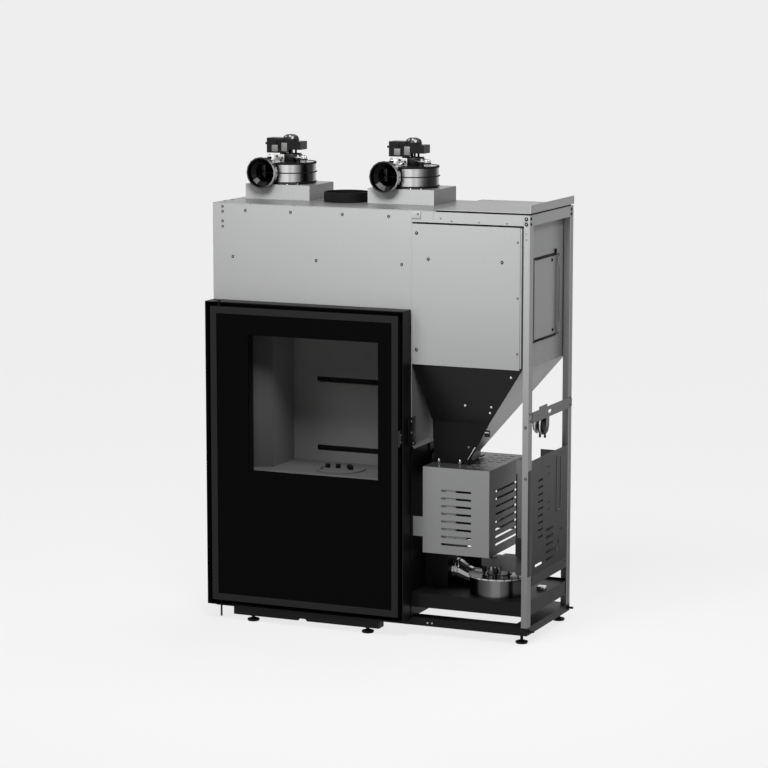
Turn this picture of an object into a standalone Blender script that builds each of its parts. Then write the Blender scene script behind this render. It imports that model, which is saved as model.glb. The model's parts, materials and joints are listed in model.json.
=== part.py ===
# Pellet fireplace insert: a firebox bay behind a glazed door, with two hot-air
# blowers on top, beside an open bay that holds the pellet hopper, its auger,
# the fume fan and the controls. Metres, +Z up, the door faces -Y.
import math

import bmesh
import bpy
from mathutils import Matrix, Vector

mm = 0.001

# Clearances
touch = 0.3 * mm            # between pieces that rest on or beside each other
running = 1.0 * mm          # round a shaft or a pin that turns

# Casing and frame
casing_width = 1100 * mm
casing_depth = 395 * mm
casing_height = 1367 * mm   # floor to the top panel's upper face
bay_width = 702 * mm        # firebox bay; the hopper bay is the rest
sheet = 2 * mm
rail_bottom = 30 * mm
rail_height = 25 * mm
rail_width = 55 * mm
rail_wall = 3 * mm
post_width = 20 * mm
post_depth = 32 * mm
post_groove = 3 * mm
top_rail_height = 34 * mm
top_rail_flange = 20 * mm
stud_radius = 4 * mm
stud_reach = 18 * mm
stud_inset = 16 * mm

# Feet and the rail that carries the two front ones
foot_radius = 20 * mm
foot_disc = 7 * mm
foot_dish = 4 * mm
stem_radius = 5 * mm
nut_radius = 9 * mm
nut_height = 5 * mm
support_left = 94 * mm
support_length = 520 * mm
support_reach = 58 * mm     # how far it stands out of the casing's front
support_width = 40 * mm
support_bottom = 20 * mm
support_height = 27 * mm
support_foot_left = 156 * mm
support_foot_right = 567 * mm
support_foot_back = 38 * mm
notch_middle = 343 * mm
notch_length = 34 * mm
notch_height = 7 * mm

# Casing panels
front_panel_bottom = 1040 * mm
shield_above_hole = 15 * mm  # above the hole for the auger's tube
shield_lip = 16 * mm
shield_depth = 177 * mm
top_panel_length = 782 * mm
collar_x = 382 * mm
collar_y = 212 * mm
collar_radius = 75 * mm
collar_wall = 3 * mm
collar_height = 32 * mm
louvre_count = 6
louvre_bottom = 170 * mm
louvre_pitch = 22 * mm
louvre_length = 180 * mm
louvre_height = 6 * mm

# Door
surround_inset = 2 * mm     # its right edge inside the firebox bay
surround_height = 1004 * mm
surround_bottom = 48 * mm
surround_depth = 62 * mm
surround_wall = 2 * mm
surround_flange = 30 * mm
leaf_margin_side = 18 * mm
leaf_margin_top = 16 * mm
leaf_depth = 28 * mm
leaf_border = 22 * mm
leaf_wall = 3 * mm
hinge_stile = 36 * mm
glass_thickness = 5 * mm
glass_recess = 2 * mm       # glass face behind the border's face
gasket_width = 10 * mm
pin_x = 42 * mm
pin_front = 45 * mm         # hinge pin's axis in front of the casing
pin_radius = 3.2 * mm
pin_drop = 42 * mm          # free end below the surround
pin_head_radius = 6 * mm
pin_head = 4 * mm
latch_height = 643 * mm
latch_length = 52 * mm
latch_width = 9 * mm
latch_inset = 10 * mm
latch_side = 7 * mm
latch_plate = 4 * mm

# Firebox
firebox_left = 95 * mm
firebox_inset = 41 * mm     # its right side inside the firebox bay
firebox_back = 262 * mm
firebox_top = 985 * mm
firebox_wall = 5 * mm
mouth_reach = 28 * mm       # mouth frame in front of the casing
mouth_left = 138 * mm
mouth_inset = 84 * mm       # its right side inside the firebox bay
mouth_bottom = 490 * mm
mouth_top = 955 * mm
mouth_frame = 18 * mm
hearth_height = 498 * mm    # upper face of the hearth slab
hearth_slab = 16 * mm
liner = 22 * mm
liner_joint = 5.5 * mm      # open joint between the side and back liners
liner_left_face = 185 * mm
liner_right_inset = 30 * mm
liner_back_face = 221 * mm
liner_top = 972 * mm
liner_splay = 73 * mm       # how far the left liner splays out at the front
liner_front = 33 * mm
air_slot_inset = 85 * mm    # from the faces of the side liners
air_slot_high = 770 * mm
air_slot_low = 541 * mm
air_slot_height = 12 * mm
pot_y = 101 * mm
pot_radius = 70 * mm
pot_rim_radius = 82 * mm
pot_rim = 5 * mm
pot_wall = 4 * mm
pot_depth = 62 * mm
pot_hole_radius = 4.5 * mm
ash_width = 216 * mm
ash_bottom = 330 * mm
ash_pan_height = 60 * mm
ash_pan_wall = 1.5 * mm
chute_half = 42 * mm
chute_drop = 30 * mm        # its middle below the auger's axis

# Hopper
hopper_side_gap = 23 * mm
hopper_back_gap = 5 * mm
funnel_top = 878 * mm
front_cover_top = 1325 * mm
front_cover_inset = 9 * mm  # from the hopper's right side
throat_from_bay = 98 * mm
throat_y = 195 * mm
throat_half = 45 * mm
throat_rise = 51 * mm       # above the auger's tube
throat_neck = 16 * mm
flange_edge = 10 * mm
flange_plate = 3 * mm
lid_joint = 2 * mm          # between the top panel and the lid
lid_overhang = 2 * mm
lid_gap = 3 * mm
lid_upstand = 24 * mm
lid_seal_inset = 22 * mm
lid_seal_width = 12 * mm
hatch_front = 100 * mm
hatch_back = 303 * mm
hatch_bottom = 958 * mm
hatch_top = 1218 * mm
hatch_lap = 12 * mm
hatch_flange = 11 * mm
hatch_barrel_radius = 4.5 * mm
hatch_barrel = 22 * mm
hatch_pin_radius = 2 * mm
hatch_hinge_inset = 26 * mm
hatch_lug = 4 * mm

# Auger
auger_angle = 36            # degrees above the horizontal, up towards the fire
auger_axis_height = 469 * mm  # where the axis passes under the throat
auger_tube_radius = 36 * mm
auger_tube_wall = 3 * mm
auger_below = 75 * mm       # tube length below the throat's middle
auger_above = 147 * mm
auger_core_radius = 9 * mm
auger_flight_radius = 30 * mm
auger_flight = 3 * mm
auger_pitch = 44 * mm
apron_reach_left = 58 * mm
apron_reach_right = 68 * mm
apron_y = 98 * mm
apron_height = 76 * mm
gear_case_width = 74 * mm
gear_case_length = 38 * mm
gear_motor_radius = 26 * mm
gear_motor_length = 56 * mm
gear_motor_edge = 5 * mm
partition_hole_side = 38 * mm
partition_hole_height = 50 * mm
partition_plate_edge = 9 * mm

# Guard over the auger's motor
guard_gap = 34 * mm         # between the partition and the guard
guard_width = 228 * mm
guard_front = 15 * mm
guard_back = 335 * mm
guard_bottom = 268 * mm
guard_drop = 8 * mm         # guard's top below the throat's flange
guard_slot = 7 * mm
guard_slot_pitch = 24.8 * mm
guard_slot_count = 8
guard_front_slot_left = 62 * mm
guard_front_slot = 106 * mm
guard_side_slot = 190 * mm
guard_side_slot_front = 55 * mm
guard_first_slot = 32 * mm
guard_clearance = 3 * mm
guard_tab_bottom = 320 * mm
guard_tab_top = 384 * mm
top_slot = 20 * mm
top_slot_rows = 7
top_slot_columns = 3
top_slot_step_x = 29 * mm
top_slot_step_y = 38 * mm

# Fume side
tray_bottom = 90 * mm
tray_top = 136 * mm
tray_rim = 8 * mm
smoke_box_width = 79 * mm
smoke_box_front = 118 * mm
smoke_box_back = 290 * mm
smoke_box_top = 262 * mm
smoke_wing = 81 * mm        # low part of the box behind the duct
smoke_wing_front = 226 * mm
smoke_wing_top = 236 * mm
fume_fan_from_box = 181 * mm
fume_fan_y = 114 * mm
fume_fan_radius = 96 * mm
fume_fan_height = 63 * mm
fume_wheel_radius = 78 * mm
fume_stub_radius = 29 * mm
fume_stub_offset = 62 * mm  # outlet's axis behind the fan's
fume_stub_reach = 112 * mm
fume_duct_height = 50 * mm  # duct's axis above the tray
fume_duct_radius = 38 * mm
fume_flange_radius = 43 * mm
fume_flange_start = 6 * mm
fume_flange = 7 * mm

# Side panel over the controls, and the crossbar with the pressure switch
control_bottom = 217 * mm
control_top = 588 * mm
control_depth = 52 * mm
control_box_back = 252 * mm   # the deep part ends here; the panel runs on to the post
control_first_slot = 514 * mm
control_slot = 47 * mm
control_slot_height = 7 * mm
control_slot_pitch = 22.9 * mm
control_slot_y = 115 * mm
control_short_slot = 28 * mm
control_short_y = 185 * mm
control_short_step = 8 * mm
control_low_slot = 70 * mm
control_low_slot_height = 9 * mm
control_low_slot_y = 102 * mm
control_low_slot_z = 243 * mm
control_rail_height = 34 * mm
crossbar_bottom = 708 * mm
crossbar_height = 35 * mm
crossbar_lip = 10 * mm
switch_y = 168 * mm
switch_radius = 29 * mm
switch_thickness = 30 * mm
switch_barb = 17 * mm
switch_barb_radius = 3.5 * mm
switch_hanger = 14 * mm

# Hot-air blowers
plinth_left = 34 * mm
plinth_width = 232 * mm
plinth_front = 172 * mm
plinth_depth = 188 * mm
plinth_height = 49 * mm
blower_pitch = 440 * mm
drum_radius = 87.5 * mm
drum_height = 69 * mm
drum_foot = 2.5 * mm
drum_wall = 2.5 * mm
drum_bead = 3 * mm
drum_bead_height = 37 * mm
inlet_radius = 55 * mm
spigot_radius = 50 * mm
spigot_offset = 46 * mm     # its axis to the left of the drum's
spigot_height = 39 * mm     # its axis above the plinth
spigot_reach = 124 * mm     # mouth in front of the drum's axis
spigot_length = 24 * mm
spigot_lip = 1.8 * mm
spigot_lip_length = 3.5 * mm
scroll_back = 10 * mm       # how far the way out starts behind the drum's axis
spigot_neck = 36 * mm       # radius where it leaves the drum, clear of the plinth
wheel_radius = 70 * mm
wheel_height = 48 * mm
blade_count = 10
blade_length = 15 * mm
blade = 1.6 * mm
shaft_radius = 4 * mm
blower_bracket = 29 * mm
fume_bracket = 12 * mm
core_left = 72 * mm
core_right = 52 * mm
coil_width = 62 * mm
coil_height = 49 * mm
core_low = 12 * mm
core_high = 39 * mm
core_half = 24 * mm
blower_dome = 23 * mm
fume_dome = 7 * mm
dome_radius = 27 * mm

# Places worked out from the sizes above
rail_top = rail_bottom + rail_height
inner_height = casing_height - sheet - touch
top_rail_bottom = inner_height - top_rail_height
surround_width = bay_width - surround_inset
firebox_right = bay_width - firebox_inset
mouth_right = bay_width - mouth_inset
liner_right_face = firebox_right - liner_right_inset
air_slot_left = liner_left_face + air_slot_inset
air_slot_right = liner_right_face - air_slot_inset
pot_x = (liner_left_face + liner_right_face) / 2
ash_left = pot_x - ash_width / 2
hopper_right = casing_width - hopper_side_gap
hopper_back = casing_depth - hopper_back_gap
hopper_top = top_rail_bottom - touch
front_cover_right = hopper_right - front_cover_inset
lid_left = top_panel_length + lid_joint
throat_x = bay_width + throat_from_bay
throat_top = auger_axis_height + auger_tube_radius + throat_rise
apron_left = throat_x - apron_reach_left
apron_right = throat_x + apron_reach_right
apron_top = throat_top + apron_height
auger_rise = math.tan(math.radians(auger_angle))
partition_axis_height = auger_axis_height + auger_rise * (throat_x - bay_width + sheet / 2)
shield_bottom = partition_axis_height + partition_hole_height + shield_above_hole
guard_left = bay_width + guard_gap
guard_right = guard_left + guard_width
guard_top = throat_top - guard_drop
smoke_box_right = bay_width + smoke_box_width
smoke_wing_right = smoke_box_right + smoke_wing
fume_fan_x = smoke_box_right + fume_fan_from_box
fume_stub_y = fume_fan_y + fume_stub_offset
surround_top = surround_bottom + surround_height
leaf_left = leaf_margin_side
leaf_right = surround_width - leaf_margin_side
leaf_bottom = surround_bottom + leaf_margin_top
leaf_top = surround_top - leaf_margin_top
leaf_front = -surround_depth
leaf_back = leaf_front + leaf_depth
glass_front = leaf_front + glass_recess
glass_back = glass_front + glass_thickness
web_front = glass_back + touch
pin_y = -pin_front
hearth_under = hearth_height - hearth_slab
deck_top = hearth_under - touch
deck_under = deck_top - firebox_wall
lid_under = casing_height + lid_gap
lid_hinge_y = casing_depth - 0.5 * mm
lid_hinge_z = casing_height + lid_gap / 2
hatch_face = hopper_right + touch
hatch_axis_x = hatch_face + sheet + hatch_barrel_radius + touch
hatch_axis_y = hatch_back - sheet
plinth_top = casing_height + touch + plinth_height
blower_x = plinth_left + plinth_width / 2
blower_y = plinth_front + plinth_depth / 2
tray_right = casing_width - sheet - touch
bay_left = bay_width + touch
stud_z = rail_bottom + rail_height / 2
frame_middle_x = (casing_width + stud_reach) / 2
frame_middle_y = (casing_depth - surround_depth) / 2

finishes = {
    "galvanised": ((0.52, 0.53, 0.53), 0.42, 0.55),
    "guard_grey": ((0.24, 0.245, 0.245), 0.5, 0.3),
    "black_steel": ((0.012, 0.012, 0.013), 0.5, 0.2),
    "cast_iron": ((0.05, 0.05, 0.05), 0.7, 0.4),
    "door_frame": ((0.045, 0.046, 0.048), 0.45, 0.3),
    "door_glass": ((0.006, 0.006, 0.007), 0.05, 0.0),
    "rope_seal": ((0.03, 0.03, 0.03), 0.9, 0.0),
    "liner": ((0.42, 0.41, 0.39), 0.85, 0.0),
    "bright_steel": ((0.6, 0.6, 0.6), 0.22, 1.0),
    "motor_black": ((0.02, 0.02, 0.022), 0.45, 0.2),
    "plastic_black": ((0.02, 0.02, 0.02), 0.5, 0.0),
}


def clear_scene():
    for thing in list(bpy.data.objects):
        bpy.data.objects.remove(thing, do_unlink=True)


def make_finish(name):
    colour, roughness, metallic = finishes[name]
    material = bpy.data.materials.new(name)
    material.use_nodes = True
    shader = material.node_tree.nodes["Principled BSDF"]
    shader.inputs["Base Color"].default_value = (*colour, 1)
    shader.inputs["Roughness"].default_value = roughness
    shader.inputs["Metallic"].default_value = metallic
    return material


def make_empty(name, at, under=None, turned=(0, 0, 0)):
    empty = bpy.data.objects.new(name, None)
    empty.empty_display_size = 0.05
    bpy.context.collection.objects.link(empty)
    empty.parent = under
    empty.location = at
    empty.rotation_euler = turned
    return empty


# Shapes. Each one returns a closed bmesh in the frame of its parent.
def spot(along, distance, across, up):
    if along == "x":
        return Vector((distance, across, up))
    if along == "y":
        return Vector((across, distance, up))
    return Vector((across, up, distance))


def prism(outline, along, start, end):
    bm = bmesh.new()
    corners = [bm.verts.new(spot(along, start, a, b)) for a, b in outline]
    face = bm.faces.new(corners)
    pulled = bmesh.ops.extrude_face_region(bm, geom=[face])["geom"]
    moved = [item for item in pulled if isinstance(item, bmesh.types.BMVert)]
    bmesh.ops.translate(bm, verts=moved, vec=spot(along, end - start, 0, 0))
    bmesh.ops.recalc_face_normals(bm, faces=bm.faces)
    return bm


def block(low, high):
    outline = [(low[0], low[1]), (high[0], low[1]), (high[0], high[1]), (low[0], high[1])]
    return prism(outline, "z", low[2], high[2])


def revolve(profile, centre, along="z", segments=32):
    bm = bmesh.new()
    axis = spot(along, 1, 0, 0)
    middle = Vector(centre)
    points = []
    for radius, height in profile:
        across = spot(along, 0, radius, 0)
        points.append(bm.verts.new(middle + axis * height + across))
    edges = [bm.edges.new(pair) for pair in zip(points, points[1:] + points[:1])]
    bmesh.ops.spin(
        bm, geom=points + edges, cent=middle, axis=axis, angle=math.tau,
        steps=segments, use_merge=True,
    )
    bmesh.ops.remove_doubles(bm, verts=bm.verts, dist=0.002 * mm)
    loose = [edge for edge in bm.edges if not edge.link_faces]
    bmesh.ops.delete(bm, geom=loose, context="EDGES")
    bmesh.ops.recalc_face_normals(bm, faces=bm.faces)
    return bm


def disc(radius, centre, start, end, along="z", segments=24):
    return revolve([(0, start), (radius, start), (radius, end), (0, end)], centre, along, segments)


def loft(rings):
    bm = bmesh.new()
    rows = [[bm.verts.new(point) for point in ring] for ring in rings]
    count = len(rows[0])
    for lower, upper in zip(rows, rows[1:]):
        for i in range(count):
            j = (i + 1) % count
            bm.faces.new((lower[i], lower[j], upper[j], upper[i]))
    bm.faces.new(rows[0])
    bm.faces.new(rows[-1])
    bmesh.ops.recalc_face_normals(bm, faces=bm.faces)
    return bm


def shell_of_rings(outer, inner):
    # A tube of changing section: out along the outer rings, back along the inner ones.
    bm = bmesh.new()
    rows = [[bm.verts.new(point) for point in ring] for ring in outer + inner[::-1]]
    count = len(rows[0])
    for here, there in zip(rows, rows[1:] + rows[:1]):
        for i in range(count):
            j = (i + 1) % count
            bm.faces.new((here[i], here[j], there[j], there[i]))
    bmesh.ops.recalc_face_normals(bm, faces=bm.faces)
    return bm


def together(shapes):
    bm = bmesh.new()
    for shape in shapes:
        mesh = bpy.data.meshes.new("part of a shape")
        shape.to_mesh(mesh)
        bm.from_mesh(mesh)
        bpy.data.meshes.remove(mesh)
        shape.free()
    return bm


def stadium(a, b, length, height, steps=2):
    radius = height / 2
    points = []
    for side in (1, -1):
        for i in range(steps + 1):
            angle = -math.pi / 2 + math.pi * i / steps
            reach = length / 2 - radius + radius * math.cos(angle)
            points.append((a + side * reach, b + side * radius * math.sin(angle)))
    return points


def rectangle(left, bottom, right, top):
    return [(left, bottom), (right, bottom), (right, top), (left, top)]


# Objects
def put(name, shape, finish, origin=(0, 0, 0), under=None, smooth=0):
    mesh = bpy.data.meshes.new(name)
    bmesh.ops.translate(shape, verts=shape.verts, vec=-Vector(origin))
    shape.to_mesh(mesh)
    shape.free()
    thing = bpy.data.objects.new(name, mesh)
    bpy.context.collection.objects.link(thing)
    thing.parent = under if under else frame_origin
    thing.location = origin
    mesh.materials.append(materials[finish])
    if smooth:
        mesh.shade_smooth()
        mesh.set_sharp_from_angle(angle=math.radians(smooth))
    return thing


def guide(target, shape):
    mesh = bpy.data.meshes.new("guide")
    shape.to_mesh(mesh)
    shape.free()
    thing = bpy.data.objects.new("guide_" + target.name, mesh)
    bpy.context.collection.objects.link(thing)
    thing.hide_render = True
    thing.display_type = "WIRE"
    return thing


def combine(target, shape, operation, under=None):
    tool = guide(target, shape)
    tool.parent = under if under else frame_origin
    change = target.modifiers.new(operation.lower(), "BOOLEAN")
    change.operation = operation
    change.solver = "EXACT"
    change.object = tool


def cut(target, shapes, under=None):
    combine(target, together(shapes), "DIFFERENCE", under)


def weld(target, shapes, under=None):
    for shape in shapes:
        combine(target, shape, "UNION", under)


# Frame
def build_base_frame():
    left = (0, 0, rail_bottom)
    frame = put("base_frame", block(left, (casing_width, casing_depth, rail_top)), "black_steel")
    middle_left = bay_width - rail_width
    back_rail = casing_depth - rail_width
    right_rail = casing_width - rail_width
    under = rail_bottom - 1 * mm
    over = rail_top + 1 * mm
    cut(frame, [
        block((rail_width, rail_width, under), (middle_left, back_rail, over)),
        block((bay_width, rail_width, under), (right_rail, back_rail, over)),
    ])
    # Each outer rail is an angle: a flange on top and a skirt on the outside
    web = rail_top - rail_wall
    w = rail_wall
    cut(frame, [block((w, w, under), (casing_width - w, casing_depth - w, web))])
    # Anchor studs at the two right corners
    for y in (stud_inset, casing_depth - stud_inset):
        start = casing_width - rail_wall / 2
        end = casing_width + stud_reach
        weld(frame, [disc(stud_radius, (0, y, stud_z), start, end, "x", 12)])
        weld(frame, [disc(stud_radius * 1.9, (0, y, stud_z), start, casing_width + 4 * mm, "x", 6)])
    return frame


def build_support_rail():
    back = -support_reach + support_width
    bottom = support_bottom
    top = support_bottom + support_height
    right = support_left + support_length
    rail = put(
        "front_support_rail",
        block((support_left, -support_reach, bottom), (right, back, top)),
        "black_steel",
    )
    # Two arms that bolt to the base frame's front rail
    for x in (support_foot_left, support_foot_right):
        arm = block(
            (x - support_width, back - rail_wall, rail_bottom),
            (x + support_width, -touch, top),
        )
        weld(rail, [arm])
    w = rail_wall
    pocket = block(
        (support_left + w, -support_reach + w, bottom - 1 * mm),
        (right - w, back - w, top - w),
    )
    cut(rail, [pocket])
    notch = prism(
        [
            (notch_middle - notch_length / 2, bottom - 1 * mm),
            (notch_middle + notch_length / 2, bottom - 1 * mm),
            (notch_middle + notch_length / 2 - notch_height, bottom + notch_height),
            (notch_middle - notch_length / 2 + notch_height, bottom + notch_height),
        ],
        "y", -support_reach - 1 * mm, -support_reach + w + 1 * mm,
    )
    cut(rail, [notch])
    return rail


def build_foot(name, x, y, carrier_bottom, carrier_top):
    stem_top = carrier_top - rail_wall - touch
    nut_top = carrier_bottom - touch
    profile = [
        (0, 0),
        (foot_radius - 1.5 * mm, 0),
        (foot_radius, 2 * mm),
        (foot_radius, foot_disc),
        (stem_radius + 3 * mm, foot_disc + foot_dish),
        (stem_radius, foot_disc + foot_dish + 1 * mm),
        (stem_radius, stem_top),
        (0, stem_top),
    ]
    foot = put(name, revolve(profile, (x, y, 0), "z", 12), "black_steel", (x, y, 0), smooth=35)
    nut = disc(nut_radius, (x, y, 0), nut_top - nut_height, nut_top, "z", 6)
    if nut_top - nut_height > foot_disc + foot_dish:
        weld(foot, [nut])
    return foot


def build_posts():
    w = casing_width
    d = casing_depth
    t = sheet
    front = [
        (w - post_width, 0), (w, 0), (w, post_depth), (w - t, post_depth), (w - t, t),
        (w - post_width, t),
    ]
    put("post_front_right", prism(front, "z", rail_top + touch, inner_height), "galvanised")
    groove = d - post_depth / 2
    near = d - post_depth
    rear = [
        (w - post_width, d), (w, d), (w, groove + post_groove),
        (w - post_groove, groove + post_groove / 2), (w - post_groove, groove - post_groove / 2),
        (w, groove - post_groove), (w, near), (w - post_width, near), (w - post_width, near + t),
        (w - t, near + t), (w - t, groove - post_groove - t),
        (w - post_groove - t, groove - post_groove), (w - post_groove - t, groove + post_groove),
        (w - t, groove + post_groove + t), (w - t, d - t), (w - post_width, d - t),
    ]
    put("post_rear_right", prism(rear, "z", rail_top + touch, inner_height), "galvanised")


def channel_outline(face, back, bottom, top):
    # A C section: its web stands at face, its flanges run to back
    step = sheet if back > face else -sheet
    return [
        (face, bottom), (back, bottom), (back, bottom + sheet), (face + step, bottom + sheet),
        (face + step, top - sheet), (back, top - sheet), (back, top), (face, top),
    ]


def build_top_rails():
    low = top_rail_bottom
    high = inner_height
    right = casing_width - post_width - touch
    front = channel_outline(0, top_rail_flange, low, high)
    put("top_rail_front", prism(front, "x", bay_left, right), "galvanised")
    rear = channel_outline(casing_depth, casing_depth - top_rail_flange, low, high)
    put("top_rail_rear", prism(rear, "x", bay_left, right), "galvanised")
    side = channel_outline(casing_width, casing_width - top_rail_flange, low, high)
    put(
        "top_rail_side",
        prism(side, "y", post_depth + touch, casing_depth - post_depth - touch),
        "galvanised",
    )


def build_crossbar():
    x = casing_width + touch
    low = crossbar_bottom
    high = crossbar_bottom + crossbar_height
    inside = casing_width - crossbar_lip
    start = post_depth + touch
    outline = [
        (start, low), (casing_depth - 3 * mm, low + 3 * mm), (casing_depth - 3 * mm, high - 6 * mm),
        (casing_depth - post_depth, high), (start, high),
    ]
    bar = put("side_crossbar", prism(outline, "x", x, x + sheet), "galvanised")
    lip_end = casing_depth - post_depth - touch
    weld(bar, [block((inside, start, low), (x + sheet / 2, lip_end, low + sheet))])
    # The front end steps in behind the front post's flange
    step = casing_width - 2 * sheet - touch
    weld(bar, [
        block((step, start, low), (x + sheet / 2, start + sheet, high)),
        block((step, sheet + touch, low), (step + sheet, start + sheet, high)),
    ])
    middle = (low + high) / 2
    cut(bar, [prism(
        stadium(switch_y + 20 * mm, middle, 34 * mm, 11 * mm), "x", x - 1 * mm, x + sheet + 1 * mm,
    )])
    weld(bar, [block((x, switch_y - 75 * mm, high - sheet), (x + sheet, switch_y - 5 * mm, high + 9 * mm))])
    weld(bar, [block(
        (x, switch_y - switch_hanger, low - switch_radius),
        (x + sheet, switch_y + switch_hanger, low + sheet),
    )])


def build_pressure_switch():
    right = casing_width
    left = right - switch_thickness
    axis = (0, switch_y, crossbar_bottom - switch_radius + 2 * mm)
    rim = switch_radius
    profile = [
        (0, left), (rim * 0.45, left), (rim * 0.55, left + 5 * mm), (rim * 0.86, left + 7 * mm),
        (rim * 0.92, left + 12 * mm), (rim, left + 13 * mm), (rim, left + 19 * mm),
        (rim * 0.92, left + 20 * mm), (rim * 0.92, right - 3 * mm), (rim * 0.5, right),
        (0, right),
    ]
    switch = put("pressure_switch", revolve(profile, axis, "x", 16), "plastic_black", smooth=35)
    for x in (left + 6 * mm, right - 7 * mm):
        barb = revolve(
            [
                (0, 0), (switch_barb_radius, 0), (switch_barb_radius, -switch_barb * 0.6),
                (switch_barb_radius * 1.35, -switch_barb * 0.7), (switch_barb_radius * 0.8, -switch_barb),
                (0, -switch_barb),
            ],
            (x, switch_y, axis[2] - rim * 0.8), "z", 8,
        )
        weld(switch, [barb])


# Casing
def build_casing_panels():
    t = sheet
    top = inner_height
    left = put(
        "casing_left_panel",
        block((0, t + touch, rail_top + touch), (t, casing_depth - t - touch, top)),
        "galvanised",
    )
    # Cooling louvres low on the hidden side
    slots = []
    for i in range(louvre_count):
        z = louvre_bottom + i * louvre_pitch
        outline = stadium(casing_depth / 2, z, louvre_length, louvre_height)
        slots.append(prism(outline, "x", -1 * mm, t + 1 * mm))
    cut(left, slots)
    put(
        "casing_front_panel",
        block((0, 0, front_panel_bottom), (bay_width, t, top)),
        "galvanised",
    )
    put(
        "casing_rear_panel",
        block((0, casing_depth - t, rail_top + touch), (bay_width, casing_depth, top)),
        "galvanised",
    )
    panel = put(
        "casing_top_panel",
        block((0, 0, casing_height - t), (top_panel_length, casing_depth, casing_height)),
        "galvanised",
    )
    holes = [disc(collar_radius - collar_wall, (collar_x, collar_y, casing_height), -t * 2, t, "z", 32)]
    for i in range(2):
        centre = (blower_x + i * blower_pitch, blower_y, casing_height)
        holes.append(disc(inlet_radius, centre, -t * 2, t, "z", 20))
    cut(panel, holes)


def build_partitions():
    right = bay_width
    left = bay_width - sheet
    front = sheet + touch
    back = casing_depth - sheet - touch
    lip = shield_lip * 0.7
    outline = [
        (left, shield_bottom + lip), (left + lip, shield_bottom), (right + lip, shield_bottom),
        (right, shield_bottom + lip), (right, inner_height), (left, inner_height),
    ]
    shield = put("firebox_side_shield", prism(outline, "y", front, shield_depth), "galvanised")
    weld(shield, [block(
        (left, shield_depth - sheet, shield_bottom + lip), (right, back, inner_height),
    )])
    lower = put(
        "lower_partition",
        block((left, front, rail_top + touch), (right, back, shield_bottom - touch)),
        "black_steel",
    )
    low = partition_axis_height - partition_hole_height
    high = partition_axis_height + partition_hole_height
    cut(lower, [block(
        (left - 1 * mm, throat_y - partition_hole_side, low),
        (right + 1 * mm, throat_y + partition_hole_side, high),
    )])


def build_collar():
    outer = collar_radius
    inner = collar_radius - collar_wall
    low = touch
    high = collar_height
    profile = [
        (inner, low), (outer, low), (outer, high - 3 * mm), (outer - 1 * mm, high),
        (inner, high),
    ]
    put(
        "flue_collar",
        revolve(profile, (collar_x, collar_y, casing_height), "z", 32),
        "black_steel", smooth=35,
    )


# Door
def build_surround():
    w = surround_wall
    front = -surround_depth
    back = -touch
    surround = put(
        "door_surround",
        block((0, front, surround_bottom), (surround_width, back, surround_top)),
        "black_steel",
    )
    cut(surround, [block(
        (w, front - 1 * mm, surround_bottom + w),
        (surround_width - w, back - w, surround_top - w),
    )])
    cut(surround, [block(
        (surround_flange, front, surround_bottom + surround_flange),
        (surround_width - surround_flange, back + 1 * mm, surround_top - surround_flange),
    )])
    radius = pin_radius + touch
    cut(surround, [
        disc(radius, (pin_x, pin_y, surround_bottom), -1 * mm, w + 1 * mm, "z", 16),
        disc(radius, (pin_x, pin_y, surround_top), -w - 1 * mm, 1 * mm, "z", 16),
    ])


def build_hinge_pin():
    bottom = surround_bottom - pin_drop
    top = surround_top + touch
    profile = [
        (0, bottom), (pin_radius - 1 * mm, bottom), (pin_radius, bottom + 1 * mm), (pin_radius, top),
        (pin_head_radius, top), (pin_head_radius, top + pin_head - 1 * mm),
        (pin_head_radius - 1 * mm, top + pin_head), (0, top + pin_head),
    ]
    put("door_hinge_pin", revolve(profile, (pin_x, pin_y, 0), "z", 16), "bright_steel", smooth=35)


def build_leaf():
    origin = (pin_x, pin_y, leaf_bottom)
    leaf = put(
        "door_leaf",
        block((leaf_left, leaf_front, leaf_bottom), (leaf_right, leaf_back, leaf_top)),
        "door_frame", origin,
    )
    b = leaf_border
    w = leaf_wall
    cut(leaf, [block(
        (leaf_left + b, leaf_front - 1 * mm, leaf_bottom + b),
        (leaf_right - b, web_front, leaf_top - b),
    )])
    # The back is a pan: a rim, a stile for the hinge, and a frame round the window
    web_back = web_front + w
    pan_left = leaf_left + hinge_stile
    pan_right = leaf_right - w
    pan_bottom = leaf_bottom + w
    pan_top = leaf_top - w
    rim = gasket_width
    cut(leaf, [
        block((pan_left, web_back, pan_bottom), (mouth_left - rim, leaf_back + 1 * mm, pan_top)),
        block((mouth_right + rim, web_back, pan_bottom), (pan_right, leaf_back + 1 * mm, pan_top)),
        block(
            (mouth_left - rim + w, web_back, pan_bottom),
            (mouth_right + rim - w, leaf_back + 1 * mm, mouth_bottom - rim),
        ),
        block(
            (mouth_left - rim + w, web_back, mouth_top + rim),
            (mouth_right + rim - w, leaf_back + 1 * mm, pan_top),
        ),
    ])
    cut(leaf, [block(
        (mouth_left, web_front - 1 * mm, mouth_bottom),
        (mouth_right, leaf_back + 1 * mm, mouth_top),
    )])
    cut(leaf, [disc(
        pin_radius + running / 2, (pin_x, pin_y, leaf_bottom),
        -1 * mm, leaf_top - leaf_bottom + 1 * mm, "z", 16,
    )])
    return leaf


def build_glass():
    b = leaf_border + touch
    put(
        "door_glass",
        block(
            (leaf_left + b, glass_front, leaf_bottom + b),
            (leaf_right - b, glass_back, leaf_top - b),
        ),
        "door_glass", (pin_x, pin_y, leaf_bottom),
    )


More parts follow.
